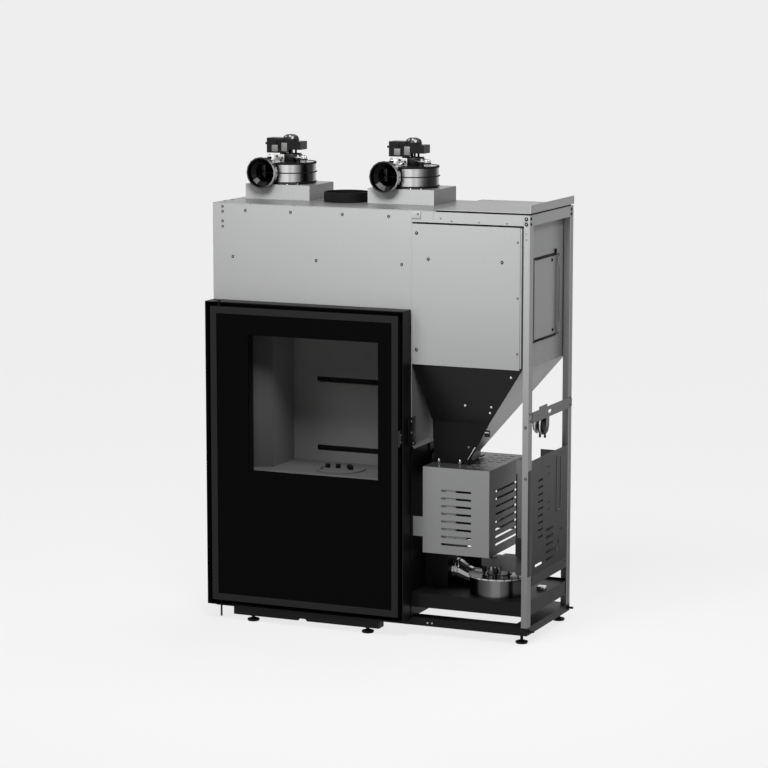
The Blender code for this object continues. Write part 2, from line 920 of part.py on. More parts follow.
def build_gasket():
    front = leaf_back + touch
    back = -mouth_reach - touch
    origin = (pin_x, pin_y, leaf_bottom)
    g = gasket_width
    seal = put(
        "door_gasket",
        block((mouth_left - g, front, mouth_bottom - g), (mouth_right + g, back, mouth_top + g)),
        "rope_seal", origin,
    )
    cut(seal, [block(
        (mouth_left + 1 * mm, front - 1 * mm, mouth_bottom + 1 * mm),
        (mouth_right - 1 * mm, back + 1 * mm, mouth_top - 1 * mm),
    )])


def build_latch():
    # A slide bolt in the gap beside the leaf, worked with a removable tool
    left = leaf_right + touch
    right = left + latch_width
    middle = leaf_front + latch_inset
    half = latch_length / 2
    origin = (left, middle, latch_height)
    side = latch_side
    plate = block(
        (left, middle - side, latch_height - half),
        (left + latch_plate, middle + side, latch_height + half),
    )
    latch = put("door_latch", plate, "bright_steel", origin)
    for z in (latch_height - half * 0.45, latch_height + half * 0.45):
        weld(latch, [disc(4.5 * mm, (0, middle, z), left + 2 * mm, right, "x", 12)])
    weld(latch, [block(
        (left + 1 * mm, middle - 3 * mm, latch_height - half * 0.5),
        (right - 2 * mm, middle + 3 * mm, latch_height + half * 0.5),
    )])


# Firebox
def build_firebox():
    w = firebox_wall
    front = sheet + touch
    body = put(
        "firebox_body",
        block((firebox_left, front, rail_top + touch), (firebox_right, firebox_back, firebox_top)),
        "black_steel",
    )
    mouth = block(
        (mouth_left - mouth_frame, -mouth_reach, mouth_bottom - mouth_frame),
        (mouth_right + mouth_frame, front + w, mouth_top + mouth_frame),
    )
    weld(body, [mouth])
    inner_left = firebox_left + w
    inner_right = firebox_right - w
    inner_back = firebox_back - w
    cut(body, [block((inner_left, front + w, deck_top), (inner_right, inner_back, firebox_top - w))])
    cut(body, [block(
        (mouth_left, -mouth_reach - 1 * mm, mouth_bottom), (mouth_right, front + w + 1 * mm, mouth_top),
    )])
    # Ash compartment under the deck, open at the front, and an open plinth below it
    cut(body, [block(
        (ash_left, front - 1 * mm, ash_bottom), (ash_left + ash_width, inner_back, deck_under),
    )])
    cut(body, [block(
        (inner_left, front + w, rail_top - 1 * mm), (inner_right, inner_back, ash_bottom - w),
    )])
    for left, right in (
        (inner_left, ash_left - w), (ash_left + ash_width + w, inner_right),
    ):
        cut(body, [block(
            (left, front + w, ash_bottom - w - 1 * mm), (right, inner_back, deck_under),
        )])
    cut(body, [disc(
        pot_radius + running, (pot_x, pot_y, deck_under), -1 * mm, w + 1 * mm, "z", 32,
    )])
    # Pellet chute from the auger's end
    z = chute_middle()
    weld(body, [block(
        (firebox_right - 1 * mm, throat_y - chute_half, z - chute_half),
        (firebox_right + w, throat_y + chute_half, z + chute_half),
    )])
    cut(body, [block(
        (firebox_right - w - 1 * mm, throat_y - chute_half + 3 * mm, z - chute_half + 3 * mm),
        (firebox_right + w + 1 * mm, throat_y + chute_half - 3 * mm, z + chute_half - 3 * mm),
    )])
    # Flue outlet in the roof, under the collar
    cut(body, [disc(
        collar_radius - 2 * collar_wall, (collar_x, collar_y - 60 * mm, firebox_top),
        -w - 1 * mm, 1 * mm, "z", 32,
    )])


def chute_middle():
    run = throat_x - firebox_right
    return auger_axis_height + auger_rise * run - chute_drop


def build_liners():
    low = hearth_height + touch
    f = liner_left_face
    splayed = f - liner_splay
    back = liner_back_face - liner_joint
    corner = liner_front + 24 * mm
    outline = [
        (splayed, liner_front), (f, corner), (f, back), (f - liner, back),
        (f - liner, corner + 18 * mm), (splayed - 7 * mm, liner_front + liner),
        (splayed - 7 * mm, liner_front),
    ]
    put("liner_left", prism(outline, "z", low, liner_top), "liner")
    r = liner_right_face
    back_right = firebox_right - firebox_wall - touch
    right = put("liner_right", block((r, corner, low), (back_right, back, liner_top)), "liner")
    z = chute_middle()
    half = chute_half - 3 * mm
    cut(right, [block((r - 1 * mm, throat_y - half, z - half), (firebox_right, back + 1 * mm, z + half))])
    panel = put(
        "liner_back",
        block(
            (f - liner, liner_back_face, low),
            (back_right, firebox_back - firebox_wall - touch, liner_top),
        ),
        "liner",
    )
    slots = []
    for z in (air_slot_low, air_slot_high):
        slots.append(block(
            (air_slot_left, liner_back_face - 1 * mm, z - air_slot_height / 2),
            (air_slot_right, firebox_back, z + air_slot_height / 2),
        ))
    cut(panel, slots)
    edge = firebox_wall + touch
    hearth = put(
        "hearth_slab",
        block(
            (firebox_left + edge, sheet + touch + firebox_wall + touch, hearth_under),
            (firebox_right - edge, firebox_back - edge, hearth_height),
        ),
        "liner",
    )
    cut(hearth, [disc(
        pot_radius + running, (pot_x, pot_y, hearth_under), -1 * mm, hearth_slab + 1 * mm, "z", 32,
    )])


def build_burn_pot():
    low = hearth_height + touch
    top = low + pot_rim
    r = pot_radius
    base = low - pot_depth
    profile = [
        (0, base), (r - 8 * mm, base), (r, base + 10 * mm), (r, low), (pot_rim_radius, low),
        (pot_rim_radius, top - 1.5 * mm), (pot_rim_radius - 2 * mm, top), (r - pot_wall, top),
        (r - pot_wall, base + 11 * mm), (r - 9 * mm, base + pot_wall), (0, base + pot_wall),
    ]
    cup = revolve(profile, (pot_x, pot_y, 0), "z", 20)
    pot = put("burn_pot", cup, "cast_iron", (pot_x, pot_y, low), smooth=35)
    holes = []
    for i in range(6):
        angle = math.tau * (i + 0.5) / 6
        centre = (pot_x + r * 0.62 * math.cos(angle), pot_y + r * 0.62 * math.sin(angle), base)
        holes.append(disc(pot_hole_radius, centre, -1 * mm, pot_wall + 1 * mm, "z", 6))
    cut(pot, holes)


def build_ash_pan():
    front = sheet + touch
    left = ash_left + 2 * mm
    right = ash_left + ash_width - 2 * mm
    low = ash_bottom + touch
    back = firebox_back - firebox_wall - 4 * mm
    high = low + ash_pan_height
    pan = put("ash_pan", block((left, front, low), (right, back, high)), "black_steel")
    w = ash_pan_wall
    cut(pan, [block((left + w, front + w, low + w), (right - w, back - w, high + 1 * mm))])
    # Pull lip
    weld(pan, [block(
        ((left + right) / 2 - 30 * mm, front - 2 * mm, high - 14 * mm),
        ((left + right) / 2 + 30 * mm, front + w / 2, high - 8 * mm),
    )])


# Hopper
def build_hopper():
    front = sheet + touch
    left = bay_left
    middle = throat_half
    t = sheet

    def ring(inset, z, low):
        if low:
            x0, x1 = throat_x - middle + inset, throat_x + middle - inset
            y0, y1 = throat_y - middle + inset, throat_y + middle - inset
        else:
            x0, x1 = left + inset, hopper_right - inset
            y0, y1 = front + inset, hopper_back - inset
        return [(x0, y0, z), (x1, y0, z), (x1, y1, z), (x0, y1, z)]

    neck = throat_top + throat_neck
    outer, inner = [
        [
            ring(inset, hopper_top, False), ring(inset, funnel_top, False),
            ring(inset, neck, True), ring(inset, throat_top, True),
        ]
        for inset in (0, t)
    ]
    hopper = put("hopper_body", shell_of_rings(outer, inner), "galvanised")
    reach = throat_half + flange_edge
    flange = block(
        (throat_x - reach, throat_y - reach, throat_top),
        (throat_x + reach, throat_y + reach, throat_top + flange_plate),
    )
    weld(hopper, [flange])
    cut(hopper, [block(
        (throat_x - middle + t, throat_y - middle + t, throat_top - 1 * mm),
        (throat_x + middle - t, throat_y + middle - t, throat_top + throat_neck),
    )])
    # Side bars that hang the hopper from the posts
    for y0, y1 in (
        (sheet + touch, sheet + touch + 24 * mm),
        (casing_depth - post_depth + 6 * mm, hopper_back),
    ):
        weld(hopper, [block(
            (hopper_right - t / 2, y0, funnel_top + 4 * mm),
            (casing_width - sheet * 3 - touch, y1, funnel_top + 24 * mm),
        )])
    lap = hatch_lap
    cut(hopper, [block(
        (hopper_right - t - 1 * mm, hatch_front + lap, hatch_bottom + lap),
        (hopper_right + 1 * mm, hatch_back - 2 * lap, hatch_top - lap),
    )])
    # Hinge lugs and pins for the side hatch
    for z in (hatch_bottom + hatch_hinge_inset, hatch_top - hatch_hinge_inset):
        half = hatch_barrel / 2 + touch
        for start in (z - half - hatch_lug, z + half):
            weld(hopper, [block(
                (hopper_right - t / 2, hatch_axis_y - hatch_barrel_radius, start),
                (hatch_axis_x + hatch_barrel_radius, hatch_axis_y + hatch_barrel_radius, start + hatch_lug),
            )])
        weld(hopper, [disc(
            hatch_pin_radius, (hatch_axis_x, hatch_axis_y, z),
            -half - hatch_lug / 2, half + hatch_lug / 2, "z", 8,
        )])
    cover = put(
        "hopper_front_cover",
        block((bay_left, 0, funnel_top), (front_cover_right, sheet, front_cover_top)),
        "galvanised",
    )
    return cover


def build_hatch():
    origin = (hatch_axis_x, hatch_axis_y, hatch_bottom)
    face = hatch_face
    plate = prism(
        [
            (face, hatch_front), (face + sheet, hatch_front), (face + sheet, hatch_back - sheet),
            (face + sheet + hatch_flange, hatch_back - sheet), (face + sheet + hatch_flange, hatch_back),
            (face, hatch_back),
        ],
        "z", hatch_bottom, hatch_top,
    )
    hatch = put("hopper_hatch", plate, "galvanised", origin)
    r = hatch_barrel_radius
    for z in (hatch_bottom + hatch_hinge_inset, hatch_top - hatch_hinge_inset):
        half = hatch_barrel / 2 + hatch_lug + 2 * touch
        cut(hatch, [block(
            (face - 1 * mm, hatch_axis_y - r - 1 * mm, z - half),
            (face + sheet + hatch_flange + 1 * mm, hatch_back + 1 * mm, z + half),
        )])
        weld(hatch, [disc(r, (hatch_axis_x, hatch_axis_y, z), -hatch_barrel / 2, hatch_barrel / 2, "z", 12)])
        arm = block(
            (face, hatch_axis_y - r - 6 * mm, z - hatch_barrel / 2),
            (face + sheet, hatch_axis_y - r / 2, z + hatch_barrel / 2),
        )
        web = block(
            (face + sheet / 2, hatch_axis_y - r - 1 * mm, z - hatch_barrel / 2),
            (hatch_axis_x, hatch_axis_y - r / 2, z + hatch_barrel / 2),
        )
        weld(hatch, [arm, web])
        cut(hatch, [disc(
            hatch_pin_radius + touch, (hatch_axis_x, hatch_axis_y, z),
            -hatch_barrel, hatch_barrel, "z", 12,
        )])
    return hatch


def build_lid():
    left = lid_left
    right = casing_width + lid_overhang
    low = lid_under
    high = lid_under + sheet
    origin = (left, lid_hinge_y, lid_hinge_z)
    outline = [
        (left, low), (right, low), (right, high + lid_upstand), (right - sheet, high + lid_upstand),
        (right - sheet, high), (left, high),
    ]
    lid = put("hopper_lid", prism(outline, "y", 0, casing_depth), "galvanised", origin)
    # Seal strip under the rim, resting on the top rails
    seal_top = low + sheet / 2
    seal_low = inner_height + touch
    inset = lid_seal_inset
    x0 = left + 2 * mm
    x1 = casing_width - lid_seal_width / 2
    y0 = 6 * mm
    y1 = casing_depth - inset
    w = lid_seal_width
    ring_outer = block((x0, y0, seal_low), (x1, y1, seal_top))
    weld(lid, [ring_outer])
    cut(lid, [block((x0 + w, y0 + w, seal_low - 1 * mm), (x1 - w, y1 - w, low))])
    # Hinge barrel along the rear edge
    weld(lid, [disc(1.1 * mm, (0, lid_hinge_y - 1.2 * mm, low), left + 30 * mm, right - 40 * mm, "x", 8)])
    return lid


# Auger, built along the local Z of an inclined empty
def build_auger():
    tube_low = -auger_below
    tube_high = auger_above
    r = auger_tube_radius
    ri = auger_tube_radius - auger_tube_wall
    housing = put(
        "auger_housing",
        disc(r, (0, 0, 0), tube_low, tube_high, "z", 20),
        "black_steel", under=auger_axis, smooth=35,
    )
    reach = throat_half - 2 * mm
    side = r + 2 * mm
    top = throat_top - touch
    left_z = auger_axis_height + auger_rise * reach
    right_z = auger_axis_height - auger_rise * reach
    throat = prism(
        [
            (throat_x - reach, left_z), (throat_x + reach, right_z),
            (throat_x + reach, top), (throat_x - reach, top),
        ],
        "y", throat_y - side, throat_y + side,
    )
    weld(housing, [throat])
    edge = throat_half + flange_edge
    weld(housing, [block(
        (throat_x - edge, throat_y - edge, top - flange_plate),
        (throat_x + edge, throat_y + edge, top),
    )])
    # Upright apron in front of the throat
    weld(housing, [block(
        (apron_left, apron_y, top - flange_plate), (apron_right, throat_y - edge + 1 * mm, top),
    )])
    weld(housing, [block(
        (apron_left, apron_y, top - flange_plate), (apron_right, apron_y + sheet, apron_top),
    )])
    # Plate that bolts to the partition
    plate_y = partition_hole_side + partition_plate_edge
    plate_z = partition_hole_height + partition_plate_edge
    weld(housing, [block(
        (bay_left, throat_y - plate_y, partition_axis_height - plate_z),
        (bay_left + flange_plate, throat_y + plate_y, partition_axis_height + plate_z),
    )])
    cut(housing, [disc(ri, (0, 0, 0), tube_low - 1 * mm, tube_high + 1 * mm, "z", 20)], auger_axis)
    wall = 2 * mm
    cut(housing, [prism(
        [
            (throat_x - reach + wall, left_z), (throat_x + reach - wall, right_z),
            (throat_x + reach - wall, top + 1 * mm), (throat_x - reach + wall, top + 1 * mm),
        ],
        "y", throat_y - ri + touch, throat_y + ri - touch,
    )])
    build_auger_screw()
    build_gear_motor()


def build_auger_screw():
    low = -auger_below + touch + 6 * mm
    high = auger_above - 12 * mm
    screw = put(
        "auger_screw",
        disc(auger_core_radius, (0, 0, 0), -auger_below - gear_case_length * 0.6, high, "z", 16),
        "bright_steel", under=auger_axis, smooth=35,
    )
    turns = (high - low - auger_pitch * 0.3) / auger_pitch
    steps = int(turns * 10)
    rings = []
    for i in range(steps + 1):
        angle = math.tau * turns * i / steps
        z = low + auger_pitch * turns * i / steps
        ring = []
        for radius, lift in (
            (auger_core_radius * 0.6, 0), (auger_flight_radius, 0),
            (auger_flight_radius, auger_flight), (auger_core_radius * 0.6, auger_flight),
        ):
            ring.append((radius * math.cos(angle), radius * math.sin(angle), z + lift))
        rings.append(ring)
    weld(screw, [loft(rings)], auger_axis)


def build_gear_motor():
    high = -auger_below - touch
    low = high - gear_case_length
    half = gear_case_width / 2
    case = put(
        "auger_gearmotor",
        block((-half, -half, low), (half, half, high)),
        "motor_black", under=auger_axis,
    )
    soften = case.modifiers.new("soft edges", "BEVEL")
    soften.width = 4 * mm
    soften.segments = 2
    soften.limit_method = "ANGLE"
    profile = [
        (0, low + 4 * mm), (gear_motor_radius, low + 4 * mm),
        (gear_motor_radius, low - gear_motor_length + gear_motor_edge),
        (gear_motor_radius - gear_motor_edge, low - gear_motor_length), (0, low - gear_motor_length),
    ]
    weld(case, [revolve(profile, (0, 0, 0), "z", 24)], auger_axis)
    bore_end = high - gear_case_length * 0.75
    bore = disc(auger_core_radius + running, (0, 0, 0), bore_end, high + 1 * mm, "z", 16)
    cut(case, [bore], auger_axis)


# Guard
def build_guard():
    t = sheet
    guard = put(
        "auger_guard",
        block((guard_left, guard_front, guard_bottom), (guard_right, guard_back, guard_top)),
        "guard_grey",
    )
    cut(guard, [block(
        (guard_left + t, guard_front + t, guard_bottom - 1 * mm),
        (guard_right - t, guard_back + 1 * mm, guard_top - t),
    )])
    tab = block(
        (bay_left, guard_front, guard_tab_bottom), (guard_left + t / 2, guard_front + t, guard_tab_top),
    )
    weld(guard, [tab])
    front_slots = []
    side_slots = []
    for i in range(guard_slot_count):
        z = guard_bottom + guard_first_slot + i * guard_slot_pitch
        middle = guard_left + guard_front_slot_left + guard_front_slot / 2
        outline = stadium(middle, z, guard_front_slot, guard_slot)
        front_slots.append(prism(outline, "y", guard_front - 1 * mm, guard_front + t + 1 * mm))
        middle = guard_front + guard_side_slot_front + guard_side_slot / 2
        outline = stadium(middle, z, guard_side_slot, guard_slot)
        side_slots.append(prism(outline, "x", guard_right - t - 1 * mm, guard_right + 1 * mm))
    cut(guard, front_slots)
    cut(guard, side_slots)
    # The auger's tube leaves through the top left corner
    tube_hole = auger_tube_radius + guard_clearance
    cut(guard, [disc(tube_hole, (0, 0, 0), 0, auger_above, "z", 20)], auger_axis)
    hole = throat_half + guard_clearance
    roof = [block(
        (throat_x - hole, throat_y - hole, guard_top - t - 1 * mm),
        (throat_x + hole, throat_y + hole, guard_top + 1 * mm),
    )]
    for column in range(top_slot_columns):
        for row in range(top_slot_rows):
            x = throat_x + hole + 28 * mm + column * top_slot_step_x
            y = guard_front + 48 * mm + row * top_slot_step_y
            outline = rectangle(x - top_slot / 2, y - guard_slot / 2, x + top_slot / 2, y + guard_slot / 2)
            roof.append(prism(outline, "z", guard_top - t - 1 * mm, guard_top + 1 * mm))
    cut(guard, roof)


# Fume side
def build_fume_side():
    t = sheet
    front = t + touch
    back = casing_depth - post_depth - touch
    tray = put(
        "fan_tray",
        block((bay_left, front, tray_bottom), (tray_right, back, tray_top)),
        "black_steel",
    )
    weld(tray, [block((bay_left, back - t, tray_top - t), (tray_right, back, tray_top + tray_rim))])
    cut(tray, [block(
        (bay_left + t, front + t, tray_bottom - 1 * mm), (tray_right - t, back - t, tray_top - t),
    )])
    low = tray_top + touch
    box = put(
        "smoke_box",
        block((bay_left, smoke_box_front, low), (smoke_box_right, smoke_box_back, smoke_box_top)),
        "black_steel",
    )
    weld(box, [block(
        (smoke_box_right - t, smoke_wing_front, low), (smoke_wing_right, smoke_box_back, smoke_wing_top),
    )])
    cut(box, [block(
        (bay_left + t, smoke_box_front + t, low + t),
        (smoke_box_right - t, smoke_box_back - t, smoke_box_top - t),
    )])
    cut(box, [block(
        (smoke_box_right - 2 * t, smoke_wing_front + t, low + t),
        (smoke_wing_right - t, smoke_box_back - t, smoke_wing_top - t),
    )])
    duct_z = tray_top + fume_duct_height
    cut(box, [disc(
        fume_duct_radius - t, (0, fume_stub_y, duct_z), smoke_box_right - t - 1 * mm,
        smoke_box_right + 1 * mm, "x", 16,
    )])
    stub_z = low + fume_fan_height / 2
    end = Vector((fume_fan_x - fume_stub_reach - touch, fume_stub_y, stub_z))
    start = Vector((smoke_box_right + touch, fume_stub_y, duct_z))
    build_fume_duct(start, end)
    build_fume_fan(low, stub_z)


def duct_ring(middle, radius):
    ring = []
    sides = 16
    for k in range(sides):
        angle = math.tau * k / sides
        ring.append(middle + Vector((0, radius * math.cos(angle), radius * math.sin(angle))))
    return ring


def build_fume_duct(start, end):
    # A clamped flange by the smoke box, then a long reducer to the fan's outlet
    near = start + Vector((fume_flange_start, 0, 0))
    far = near + Vector((fume_flange, 0, 0))
    wide = fume_duct_radius
    outer = [
        duct_ring(start, wide), duct_ring(near, wide), duct_ring(near, fume_flange_radius),
        duct_ring(far, fume_flange_radius), duct_ring(far, wide),
    ]
    inner = [duct_ring(start, wide - sheet), duct_ring(far, wide - sheet)]
    steps = 4
    for i in range(1, steps + 1):
        s = i / steps
        ease = s * s * (3 - 2 * s)
        middle = Vector((far.x + (end.x - far.x) * s, far.y, far.z + (end.z - far.z) * ease))
        radius = wide + (fume_stub_radius - wide) * ease
        outer.append(duct_ring(middle, radius))
        inner.append(duct_ring(middle, radius - sheet))
    put("fume_duct", shell_of_rings(outer, inner), "bright_steel", smooth=35)


def wheel_shape(centre, radius, height, low, shaft_low, shaft_top, count):
    # A centrifugal wheel: back plate, ring of blades leaning forwards, and a shaft
    x, y, z = centre
    inner = radius - blade_length
    profile = [
        (0, shaft_low), (shaft_radius * 2.2, shaft_low), (shaft_radius * 2.2, low + height * 0.6),
        (inner * 0.8, low + height - 3 * mm), (radius, low + height - 3 * mm), (radius, low + height),
        (shaft_radius * 2.2, low + height), (shaft_radius, low + height + 1 * mm),
        (shaft_radius, shaft_top), (0, shaft_top),
    ]
    back_plate = revolve(profile, centre, "z", 24)
    rim = revolve(
        [(inner, low), (radius, low), (radius, low + 3 * mm), (inner, low + 3 * mm)], centre, "z", 24,
    )
    blades = []
    for i in range(count):
        angle = math.tau * i / count
        outline = []
        for distance, lean in ((inner + 0.7 * mm, 0.0), (radius - 0.7 * mm, 0.16)):
            for side in (-1, 1):
                a = angle + lean + side * blade / (2 * distance)
                outline.append((x + distance * math.cos(a), y + distance * math.sin(a)))
        outline[2], outline[3] = outline[3], outline[2]
        blades.append(prism(outline, "z", z + low + 1.5 * mm, z + low + height - 1.5 * mm))
    return back_plate, rim, together(blades)


def build_wheel(name, centre, radius, height, low, shaft_low, shaft_top, count):
    back_plate, rim, blades = wheel_shape(
        centre, radius, height, low, shaft_low, shaft_top, count,
    )
    wheel = put(name, back_plate, "bright_steel", centre, smooth=35)
    weld(wheel, [blades, rim])
    return wheel


def build_motor(name, centre, bracket, dome, turn):
    # Shaded-pole motor on a three-legged bracket: coil on one side, core, end bell
    empty = make_empty(name + "_frame", centre, frame_origin, (0, 0, turn))
    foot = disc(core_half * 1.7, (0, 0, 0), 0, 2 * mm, "z", 16)
    motor = put(name, foot, "motor_black", under=empty)
    legs = []
    for i in range(3):
        angle = math.tau * (i + 0.5) / 3
        place = (core_half * 1.3 * math.cos(angle), core_half * 0.75 * math.sin(angle), 0)
        legs.append(disc(4 * mm, place, 1 * mm, bracket + core_low + 2 * mm, "z", 6))
    weld(motor, legs, empty)
    bore = shaft_radius + running
    coil = block(
        (-core_left, -core_half, bracket), (-core_left + coil_width, core_half, bracket + coil_height),
    )
    core = block(
        (-core_left + coil_width - 2 * mm, -core_half * 1.05, bracket + core_low),
        (core_right, core_half * 1.05, bracket + core_high),
    )
    weld(motor, [coil, core], empty)
    top = bracket + core_high
    bell = revolve(
        [
            (0, top - 2 * mm), (dome_radius, top - 2 * mm), (dome_radius, top + dome * 0.35),
            (dome_radius * 0.86, top + dome * 0.72), (dome_radius * 0.5, top + dome * 0.95), (0, top + dome),
        ],
        (core_right * 0.1, 0, 0), "z", 16,
    )
    weld(motor, [bell], empty)
    # Coil window and the bore for the shaft
    cut(motor, [
        block(
            (-core_left + coil_width * 0.55, -core_half - 1 * mm, bracket + coil_height * 0.2),
            (-core_left + coil_width * 0.88, -core_half + 4 * mm, bracket + coil_height * 0.8),
        ),
        disc(bore, (0, 0, 0), -1 * mm, bracket + core_low + 8 * mm, "z", 12),
    ], empty)
    return motor


def build_fume_fan(low, stub_z):
    centre = (fume_fan_x, fume_fan_y, low)
    r = fume_fan_radius
    h = fume_fan_height
    t = sheet
    outer = [
        (0, 0), (r, 0), (r, h - 5 * mm), (r + 3 * mm, h - 4 * mm), (r + 3 * mm, h), (0, h),
    ]
    housing = put(
        "fume_fan_housing", revolve(outer, centre, "z", 24), "bright_steel", smooth=35,
    )
    stub_axis = (0, fume_stub_y, stub_z)
    mouth = fume_fan_x - fume_stub_reach
    weld(housing, [disc(fume_stub_radius, stub_axis, mouth, fume_fan_x - r * 0.2, "x", 16)])
    cut(housing, [disc(r - t, centre, t, h - t, "z", 24)])
    cut(housing, [disc(
        fume_stub_radius - t, stub_axis, mouth - 1 * mm, fume_fan_x - r * 0.1, "x", 16,
    )])
    cut(housing, [disc(shaft_radius + running, centre, h - t - 1 * mm, h + 1 * mm, "z", 12)])
    build_wheel(
        "fume_fan_wheel", centre, fume_wheel_radius, h - 2 * t - 8 * mm, t + 4 * mm,
        t + 4 * mm, h + fume_bracket + core_low, 8,
    )
    build_motor(
        "fume_fan_motor", (fume_fan_x, fume_fan_y, low + h + touch), fume_bracket, fume_dome, math.pi,
    )


# Controls
def build_controls():
    x = casing_width
    t = sheet
    front = post_depth + touch
    back = casing_depth - post_depth - touch
    deep = control_box_back
    outline = [
        (x - control_depth, front), (x, front), (x, back), (x - t, back), (x - t, deep),
        (x - control_depth, deep), (x - control_depth, deep - t), (x - t, deep - t),
        (x - t, front + t), (x - control_depth, front + t),
    ]
    panel = put("control_side_panel", prism(outline, "z", control_bottom, control_top), "galvanised")
    slots = []
    for i in range(9):
        z = control_first_slot - i * control_slot_pitch
        slots.append((control_slot_y, z, control_slot, control_slot_height))
    for i in (-1, 0, 4, 5, 8, 9, 10):
        z = control_first_slot + control_short_step - i * control_slot_pitch
        slots.append((control_short_y, z, control_short_slot, control_slot_height))
    slots.append((control_low_slot_y, control_low_slot_z, control_low_slot, control_low_slot_height))
    cut(panel, [
        prism(stadium(y, z, length, height), "x", x - t - 1 * mm, x + 1 * mm)
        for y, z, length, height in slots
    ])
    top = control_bottom - touch
    rail = channel_outline(x, x - post_width, top - control_rail_height, top)
    put("control_lower_rail", prism(rail, "y", front, back), "black_steel")


# Blowers
def build_blower(index, side):
    dx = index * blower_pitch
    low = casing_height + touch
    t = sheet
    left = plinth_left + dx
    right = left + plinth_width
    back = plinth_front + plinth_depth
    plinth = put(
        "blower_plinth_" + side,
        block((left, plinth_front, low), (right, back, plinth_top)),
        "galvanised", (left, plinth_front, low),
    )
    cut(plinth, [block((left + t, plinth_front + t, low - 1 * mm), (right - t, back - t, plinth_top - t))])
    cut(plinth, [disc(inlet_radius, (blower_x + dx, blower_y, plinth_top), -t - 1 * mm, 1 * mm, "z", 20)])
    centre = (blower_x + dx, blower_y, plinth_top + touch)
    build_scroll("blower_housing_" + side, centre)
    build_wheel(
        "blower_wheel_" + side, centre, wheel_radius, wheel_height, 9 * mm,
        9 * mm, drum_height + blower_bracket + core_low, blade_count,
    )
    build_motor(
        "blower_motor_" + side, (centre[0], centre[1], centre[2] + drum_height + touch),
        blower_bracket, blower_dome, 0,
    )


def scroll_rings(centre, shrink, back_reach):
    # From the drum's tangent rectangle to the round spigot, in equal numbers of points
    x, y, z = centre
    middle = x - spigot_offset
    count = 16
    rings = []
    r = spigot_radius - shrink
    wide = drum_radius - spigot_offset - shrink
    low = drum_foot + shrink
    high = drum_height - shrink
    mouth = y - spigot_reach
    mouth_z = z + spigot_height
    neck = spigot_neck - shrink
    for station in range(5):
        ring = []
        for i in range(count):
            angle = math.tau * (i + 0.5) / count
            c, s = math.cos(angle), math.sin(angle)
            square = max(abs(c), abs(s))
            box = (middle + wide * c / square, z + (low + high) / 2 + (high - low) / 2 * s / square)
            narrow = (middle + neck * c, mouth_z + neck * s)
            circle = (middle + r * c, mouth_z + r * s)
            where = (
                y + back_reach, y - drum_radius * 0.55, plinth_front + 2 * mm,
                mouth + spigot_length, mouth - (1 * mm if shrink else 0),
            )[station]
            a, b = (box, box, narrow, circle, circle)[station]
            ring.append((a, where, b))
        rings.append(ring)
    return rings


def build_scroll(name, centre):
    r = drum_radius
    h = drum_height
    w = drum_wall
    bead = drum_bead_height
    outer = [
        (0, 0), (r - 2 * drum_foot, 0), (r, drum_foot), (r, bead - drum_bead / 2),
        (r + drum_bead, bead), (r, bead + drum_bead / 2), (r, h - 3 * mm), (r - 3 * mm, h), (0, h),
    ]
    housing = put(name, revolve(outer, centre, "z", 24), "bright_steel", centre, smooth=35)
    weld(housing, [loft(scroll_rings(centre, 0, 0))])
    mouth = centre[1] - spigot_reach
    lip = revolve(
        [
            (spigot_radius - w, mouth), (spigot_radius + spigot_lip, mouth),
            (spigot_radius + spigot_lip, mouth + spigot_lip_length),
            (spigot_radius - w, mouth + spigot_lip_length + spigot_lip),
        ],
        (centre[0] - spigot_offset, 0, centre[2] + spigot_height), "y", 16,
    )
    weld(housing, [lip])
    cut(housing, [disc(r - w, centre, drum_foot + w, h - w, "z", 24)])
    cut(housing, [loft(scroll_rings(centre, w, -scroll_back))])
    cut(housing, [
        disc(inlet_radius, centre, -1 * mm, drum_foot + w + 1 * mm, "z", 20),
        disc(shaft_radius + running, centre, h - w - 1 * mm, h + 1 * mm, "z", 12),
    ])


clear_scene()
materials = {name: make_finish(name) for name in finishes}
frame_origin = make_empty("frame_origin", (-frame_middle_x, -frame_middle_y, 0))
tilt = math.radians(90 - auger_angle)
auger_axis = make_empty(
    "auger_axis", (throat_x, throat_y, auger_axis_height), frame_origin, (0, -tilt, 0),
)

build_base_frame()
build_support_rail()
support_top = support_bottom + support_height
build_foot("foot_support_left", support_foot_left, -support_foot_back, support_bottom, support_top)
build_foot("foot_support_right", support_foot_right, -support_foot_back, support_bottom, support_top)
rail_middle = rail_width / 2
right_foot = casing_width - rail_middle
back_foot = casing_depth - rail_middle
build_foot("foot_front_right", right_foot, rail_middle, rail_bottom, rail_top)
build_foot("foot_rear_right", right_foot, back_foot, rail_bottom, rail_top)
build_foot("foot_rear_left", rail_middle, back_foot, rail_bottom, rail_top)
build_posts()
build_top_rails()
build_crossbar()
build_pressure_switch()
build_casing_panels()
build_partitions()
build_collar()
build_surround()
build_hinge_pin()
build_leaf()
build_glass()
build_gasket()
build_latch()
build_firebox()
build_liners()
build_burn_pot()
build_ash_pan()
build_hopper()
build_hatch()
build_lid()
build_auger()
build_guard()
build_fume_side()
build_controls()
build_blower(0, "left")
build_blower(1, "right")
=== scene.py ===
# Pellet fireplace insert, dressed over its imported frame. Metres, +Z up, door faces -Y.
import json
import math

